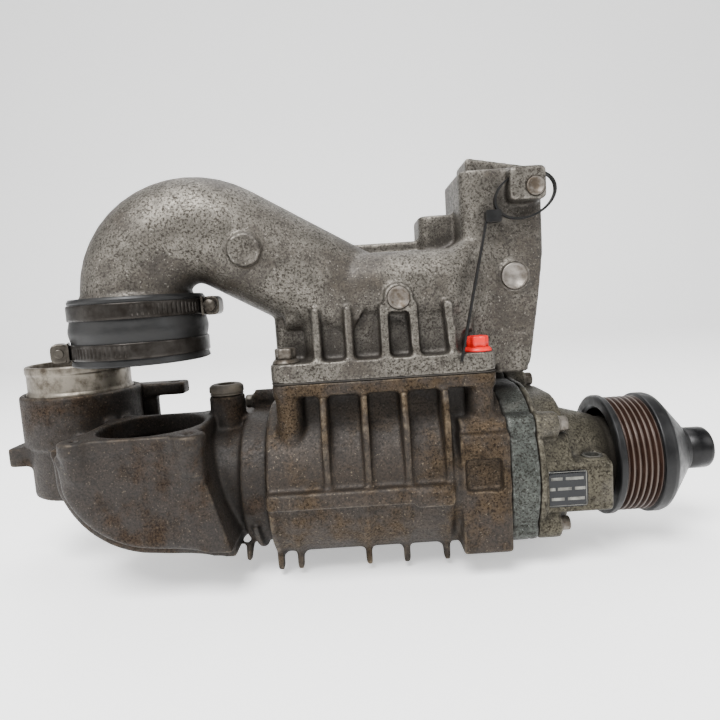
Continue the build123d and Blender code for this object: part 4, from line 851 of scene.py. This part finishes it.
class BLOWER_OT_bolts(bpy.types.Operator):
    """Flanged hexagon bolts of the duct, the cover and the inlet housing"""

    bl_idname = "blower.bolts"
    bl_label = "Bolts"

    def execute(self, context):
        plain = worked_metal("zinc-flake coated steel, dull", linear("#6d6861"), linear("#39322a"), 0.45, 0.85)
        painted = moulded("marking paint, brushed on", tuple(colours().marking_paint), linear("#8e0f0f"), 0.35, 2.0)
        up, front, back = (0, 0, 1), (1, 0, 0), (-1, 0, 0)
        low, high = -212.5, 69.5
        duct = [(low, -32.5, 77.5), (low, high, 77.5), (-166.0, high, 77.5), (-118.0, high, 77.5)]
        ring = 48.0
        cover = [(ring * np.cos(a), ring * np.sin(a)) for a in np.radians((140, 220))]
        cover += [(64 - y, z) for y, z in cover] + [(32, ring), (32, -ring)]
        inlet = [(32, 45), (32, -45), (102, 26), (102, -26)]
        groups = (
            ("duct_bolts_flanged", "duct_bolts", duct, up, 1.0, plain, "bolt_steel"),
            ("marked_duct_bolt_flanged", "marked_duct_bolt", [(-98, -32.5, 77.5)], up, 1.0, painted, "marked_bolt"),
            ("cover_bolts_flanged", "cover_bolts", [(-54, y, z) for y, z in cover], front, 0.7, plain, "bolt_steel"),
            ("inlet_bolts_flanged", "inlet_bolts", [(-245, y, z) for y, z in inlet], back, 0.7, plain, "bolt_steel"),
        )
        for name, node, seats, outward, scale, finish, slot in groups:
            lobed = outward == up
            shapes = [shape for seat in seats for shape in screw_head(seat, outward, scale, lobed)]
            settle(mesh_object(name, *joined(shapes)), "casing", slot, [node], finish)
        return {"FINISHED"}


class BLOWER_OT_pulley(bpy.types.Operator):
    """Belt pulley with six V grooves, and the nose bolt in front of it"""

    bl_idname = "blower.pulley"
    bl_label = "Pulley and nose"

    def execute(self, context):
        half, pitch = 3 * 3.56, 3.56
        track = []
        for rib in range(6):
            left = -half + rib * pitch
            track += [(left + 0.28, 37.2), (left + 0.55, 37.0), (left + 1.45, 34.6), (left + 2.1, 34.6)]
            track += [(left + 3.0, 37.0), (left + 3.28, 37.2)]
        outline = [(-16.1, 32.5), (-16.1, 38), (-15.2, 39), (-12.2, 39), (-11.5, 38.6), (-10.9, 36.4)]
        outline += track
        outline += [(10.9, 36.4), (11.5, 38.6), (12.2, 39), (17.2, 39), (19.6, 38.2), (21.4, 36.4)]
        outline += [(24, 33.5), (35.5, 20.5), (36.8, 16.2), (40.6, 15.2), (41, 14.6), (41, 8.5), (12, 8.5)]
        outline += [(12, 14), (29, 14), (15.5, 27.5), (12, 30.5), (-14.1, 30.5)]
        settle(
            mesh_object("pulley_grooved", *lathe(rounded_profile(outline, 0.22, 3), (0, 0, 0), (1, 0, 0), 192)),
            "drive_train",
            "pulley_coat",
            ["pulley"],
            rusty_grooves("black-coated steel, rusty belt track"),
        )
        nose = [(41, 0.01), (41, 12.8), (41.8, 13.6), (53.8, 13.6), (55.6, 13.2), (56.8, 12.2), (57.4, 10.6)]
        nose += [(57.4, 6.2), (56.6, 5.6), (49, 5.4), (48.8, 0.01)]
        settle(
            mesh_object("pulley_nose_bolt_cap", *lathe(nose, (0, 0, 0), (1, 0, 0), 96, closed=False)),
            "drive_train",
            "nose_black",
            ["pulley_nose_bolt"],
            worked_metal("black-oxide steel", linear("#0b0b0d"), linear("#191818"), 0.3, 0.6, 0.9, 0.1),
        )
        return {"FINISHED"}


class BLOWER_OT_core_plugs(bpy.types.Operator):
    """Pressed-in core plugs on the duct's front"""

    bl_idname = "blower.core_plugs"
    bl_label = "Core plugs"

    def execute(self, context):
        cup = np.array([(3.0, 0), (3.0, -0.1), (0.2, 0), (-0.3, -0.4), (-0.2, -1.3), (0.9, -1.8), (1.2, 0)])
        shapes = []
        for x, y, z, radius in ((-71.5, -22.5, 120.5, 8.0), (-144, -41.5, 112, 6.5), (-60, -32, 171.5, 5.5)):
            profile = cup + np.array([0, radius])
            profile[[0, -1], 1] = 1e-3
            shapes.append(lathe(profile, (x, y, z), (0, 1, 0), 64, closed=False))
        settle(
            mesh_object("duct_core_plugs_pressed", *joined(shapes)),
            "casing",
            "plug_steel",
            ["duct_core_plugs"],
            worked_metal("pressed steel, dull", linear("#7c7771"), linear("#4a4239"), 0.45, 0.9),
        )
        return {"FINISHED"}


class BLOWER_OT_name_plate(bpy.types.Operator):
    """Black film plate with a plain frame line and rows of plain bars"""

    bl_idname = "blower.name_plate"
    bl_label = "Name plate"

    def execute(self, context):
        low, high = (np.array(corner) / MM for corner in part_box("name_plate"))
        face_y = low[1]
        middle = [(low[0] + high[0]) / 2, (low[2] + high[2]) / 2]
        half = [(high[0] - low[0]) / 2, (high[2] - low[2]) / 2]
        film = moulded("printed film, black", linear("#0c0d10"), linear("#1d1f23"), 0.3, bump=0.05, dusting=0.3)
        ink = worked_metal("printed ink, silver grey", linear("#77766f"), linear("#4d4b47"), 0.5, 0.3)
        base = bar(
            (middle[0], face_y + 0.08, middle[1]),
            (middle[0], high[1], middle[1]),
            (half[0], half[1]),
            (half[0], half[1]),
            12,
            (1, 0, 0),
            96,
            3,
        )
        settle(mesh_object("name_plate_film", *base), "casing", "plate_film", ["name_plate"], film)
        lines = []
        for row, pieces in enumerate(((0.1, 0.42, 0.5, 0.92), (0.06, 0.2, 0.26, 0.6, 0.68, 0.94), (0.1, 0.38, 0.46, 0.9))):
            level = low[2] + (0.22 + 0.28 * row) * 2 * half[1]
            for start, end in zip(pieces[::2], pieces[1::2]):
                left, right = (low[0] + share * 2 * half[0] for share in (start, end))
                start, end = (left, face_y + 0.1, level), (right, face_y + 0.1, level)
                lines.append(bar(start, end, (0.1, 0.9), (0.1, 0.9), 8, (0, 1, 0), 16, 3))
        for side in (-1, 1):
            x = middle[0] + side * (half[0] - 0.8)
            z = middle[1] + side * (half[1] - 0.8)
            lines.append(
                bar((x, face_y + 0.1, low[2] + 0.8), (x, face_y + 0.1, high[2] - 0.8), (0.15, 0.1), (0.15, 0.1), 8, (1, 0, 0), 12, 3)
            )
            lines.append(
                bar((low[0] + 0.8, face_y + 0.1, z), (high[0] - 0.8, face_y + 0.1, z), (0.1, 0.15), (0.1, 0.15), 8, (0, 1, 0), 12, 3)
            )
        settle(mesh_object("name_plate_print", *joined(lines)), "casing", "plate_film", [], ink)
        return {"FINISHED"}


class BLOWER_OT_inner_parts(bpy.types.Operator):
    """Finishes for the frame's own pieces: rotors, shafts, gears, bearings, pins and gaskets"""

    bl_idname = "blower.inner_parts"
    bl_label = "Inner parts"

    def execute(self, context):
        steel = worked_metal("ground steel", linear("#c3c3c1"), linear("#8b877f"), 0.25, 1.0, 0.6, 0.08)
        case = worked_metal("case-hardened steel", linear("#9a9894"), linear("#5d564d"), 0.35, 1.0, 0.8, 0.12)
        rotor = worked_metal("machined aluminium, oiled", linear("#c6c6c6"), linear("#8f8a80"), 0.32, 1.0, 1.0, 0.1)
        nylon = moulded("glass-filled nylon", linear("#8b8063"), linear("#5f5743"), 0.5)
        black = moulded("moulded nylon, black", linear("#0a0a0a"), linear("#1c1b1a"), 0.4)
        rubber = moulded("moulded rubber, oily", linear("#191817"), linear("#2e2a25"), 0.5)
        fibre = moulded("pressed fibre gasket", linear("#2c2926"), linear("#4c463d"), 0.8)
        finishes = {
            "drive_rotor": rotor,
            "driven_rotor": rotor,
            "drive_gear": case,
            "driven_gear": case,
            "coupling_hub": case,
            "drive_bearing_cages": nylon,
            "driven_bearing_cages": nylon,
            "isolator": black,
            "cable_tie": black,
            "shaft_seal": rubber,
            "inlet_gasket": fibre,
            "outlet_gasket": fibre,
            "oil_fill_plug": case,
        }
        for name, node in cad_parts.items():
            if node.hide_render:
                continue
            node.data.materials.clear()
            node.data.materials.append(finishes.get(name, steel))
        return {"FINISHED"}


# ---- stage --------------------------------------------------------------------------------------


class BLOWER_OT_stage(bpy.types.Operator):
    """Pale floor, soft studio lights and the camera"""

    bl_idname = "blower.stage"
    bl_label = "Stage"

    def execute(self, context):
        level = cad_bounds[0][2] - sizes().floor_gap
        along = np.linspace(-3, 3, 41)
        depth = np.linspace(0, 1, 60)
        back = np.where(depth < 0.6, depth / 0.6 * 3.0 - 1.5, 1.5 + 0.8 * np.sin((depth - 0.6) / 0.4 * np.pi / 2))
        rise = np.where(depth < 0.6, 0.0, 2.6 * (1 - np.cos((depth - 0.6) / 0.4 * np.pi / 2)))
        points = np.stack(np.broadcast_arrays(along[:, None], back[None], (level + rise)[None]), -1)
        floor = mesh_object("floor", points, grid_faces(41, 60, close_columns=False))
        if sum(face.normal.z for face in floor.data.polygons) < 0:
            floor.data.flip_normals()

        def pale(tree):
            spot = add(tree, "TexCoord").outputs["Object"]
            cloud = add(tree, "TexNoise", {"Vector": spot, "Scale": per_mm(300), "Detail": 2})
            tone = add(
                tree, "Mix", {0: cloud.outputs[0], 6: linear("#fbfbfa"), 7: linear("#f7f7f7")}, data_type="RGBA"
            )
            return {"Base Color": tone.outputs[2]}

        glow = {"Roughness": 0.9, "Emission Color": linear("#ffffff"), "Emission Strength": 0.6}
        floor.data.materials.append(new_material("matt paper, pale, lit from below", pale, glow))
        for name, place, aim, size, power in (
            ("key_softbox", (-0.45, -0.75, 1.25), (-0.17, 0, 0.06), 0.7, 48),
            ("fill_softbox", (-1.3, -0.5, 0.4), (-0.2, 0, 0.05), 0.9, 6),
            ("right_softbox", (0.9, -0.6, 0.7), (-0.1, 0, 0.05), 0.7, 8),
            ("top_softbox", (-0.2, 0.5, 1.4), (-0.17, 0.05, 0.05), 1.0, 14),
        ):
            data = bpy.data.lights.new(name, "AREA")
            data.size = size
            data.energy = power
            lamp = bpy.data.objects.new(name, data)
            context.scene.collection.objects.link(lamp)
            way = np.array(aim) - np.array(place)
            lamp.matrix_world = facing(place, way, (0, 0, 1))
        world = bpy.data.worlds.new("studio")
        world.use_nodes = True
        world.node_tree.nodes["Background"].inputs[0].default_value = linear("#f4f4f4")
        world.node_tree.nodes["Background"].inputs[1].default_value = 0.6
        context.scene.world = world
        lens = bpy.data.cameras.new("camera")
        lens.lens = 29
        lens.sensor_width = 36
        camera = bpy.data.objects.new("camera", lens)
        context.scene.collection.objects.link(camera)
        tip, lean = np.radians(6.3), np.radians(3.7)
        ahead = np.array([0, np.cos(tip), -np.sin(tip)])
        level_up = np.array([0, np.sin(tip), np.cos(tip)])
        upward = np.sin(lean) * np.array([1.0, 0, 0]) + np.cos(lean) * level_up
        camera.matrix_world = facing((-0.1685, -0.3767, 0.1144), ahead, upward)
        context.scene.camera = camera
        return {"FINISHED"}


def facing(place, way, upward):
    """World matrix of a lamp or camera at a place, looking along way with its top upward."""
    back = -np.array(way, float) / np.linalg.norm(way)
    side = np.cross(upward, back)
    side /= np.linalg.norm(side)
    top = np.cross(back, side)
    matrix = np.eye(4)
    matrix[:3, 0], matrix[:3, 1], matrix[:3, 2], matrix[:3, 3] = side, top, back, place
    return Matrix(matrix.tolist())


OPERATORS = (
    BLOWER_OT_stage,
    BLOWER_OT_rotor_housing,
    BLOWER_OT_inlet_housing,
    BLOWER_OT_outlet_duct,
    BLOWER_OT_front_cover,
    BLOWER_OT_bearing_plate,
    BLOWER_OT_spigot_and_nipple,
    BLOWER_OT_hose,
    BLOWER_OT_clamps,
    BLOWER_OT_bolts,
    BLOWER_OT_pulley,
    BLOWER_OT_core_plugs,
    BLOWER_OT_name_plate,
    BLOWER_OT_inner_parts,
)


class BLOWER_PT_looks(bpy.types.Panel):
    """Sidebar panel with the sizes, the colours and a button for each group of pieces"""

    bl_label = "Supercharger looks"
    bl_idname = "BLOWER_PT_looks"
    bl_space_type = "VIEW_3D"
    bl_region_type = "UI"
    bl_category = "Blower"

    def draw(self, context):
        for group in (sizes(), colours()):
            for name in group.__annotations__:
                self.layout.prop(group, name)
        for operator in OPERATORS:
            self.layout.operator(operator.bl_idname)


CLASSES = (BlowerSizes, BlowerColours, *OPERATORS, BLOWER_PT_looks)


def register():
    for cls in CLASSES:
        bpy.utils.register_class(cls)
    bpy.types.Scene.blower_sizes = bpy.props.PointerProperty(type=BlowerSizes)
    bpy.types.Scene.blower_colours = bpy.props.PointerProperty(type=BlowerColours)


def unregister():
    del bpy.types.Scene.blower_sizes
    del bpy.types.Scene.blower_colours
    for cls in reversed(CLASSES):
        bpy.utils.unregister_class(cls)


def main():
    register()
    for operator in OPERATORS:
        group, name = operator.bl_idname.split(".")
        getattr(getattr(bpy.ops, group), name)()


if __name__ == "__main__":
    main()
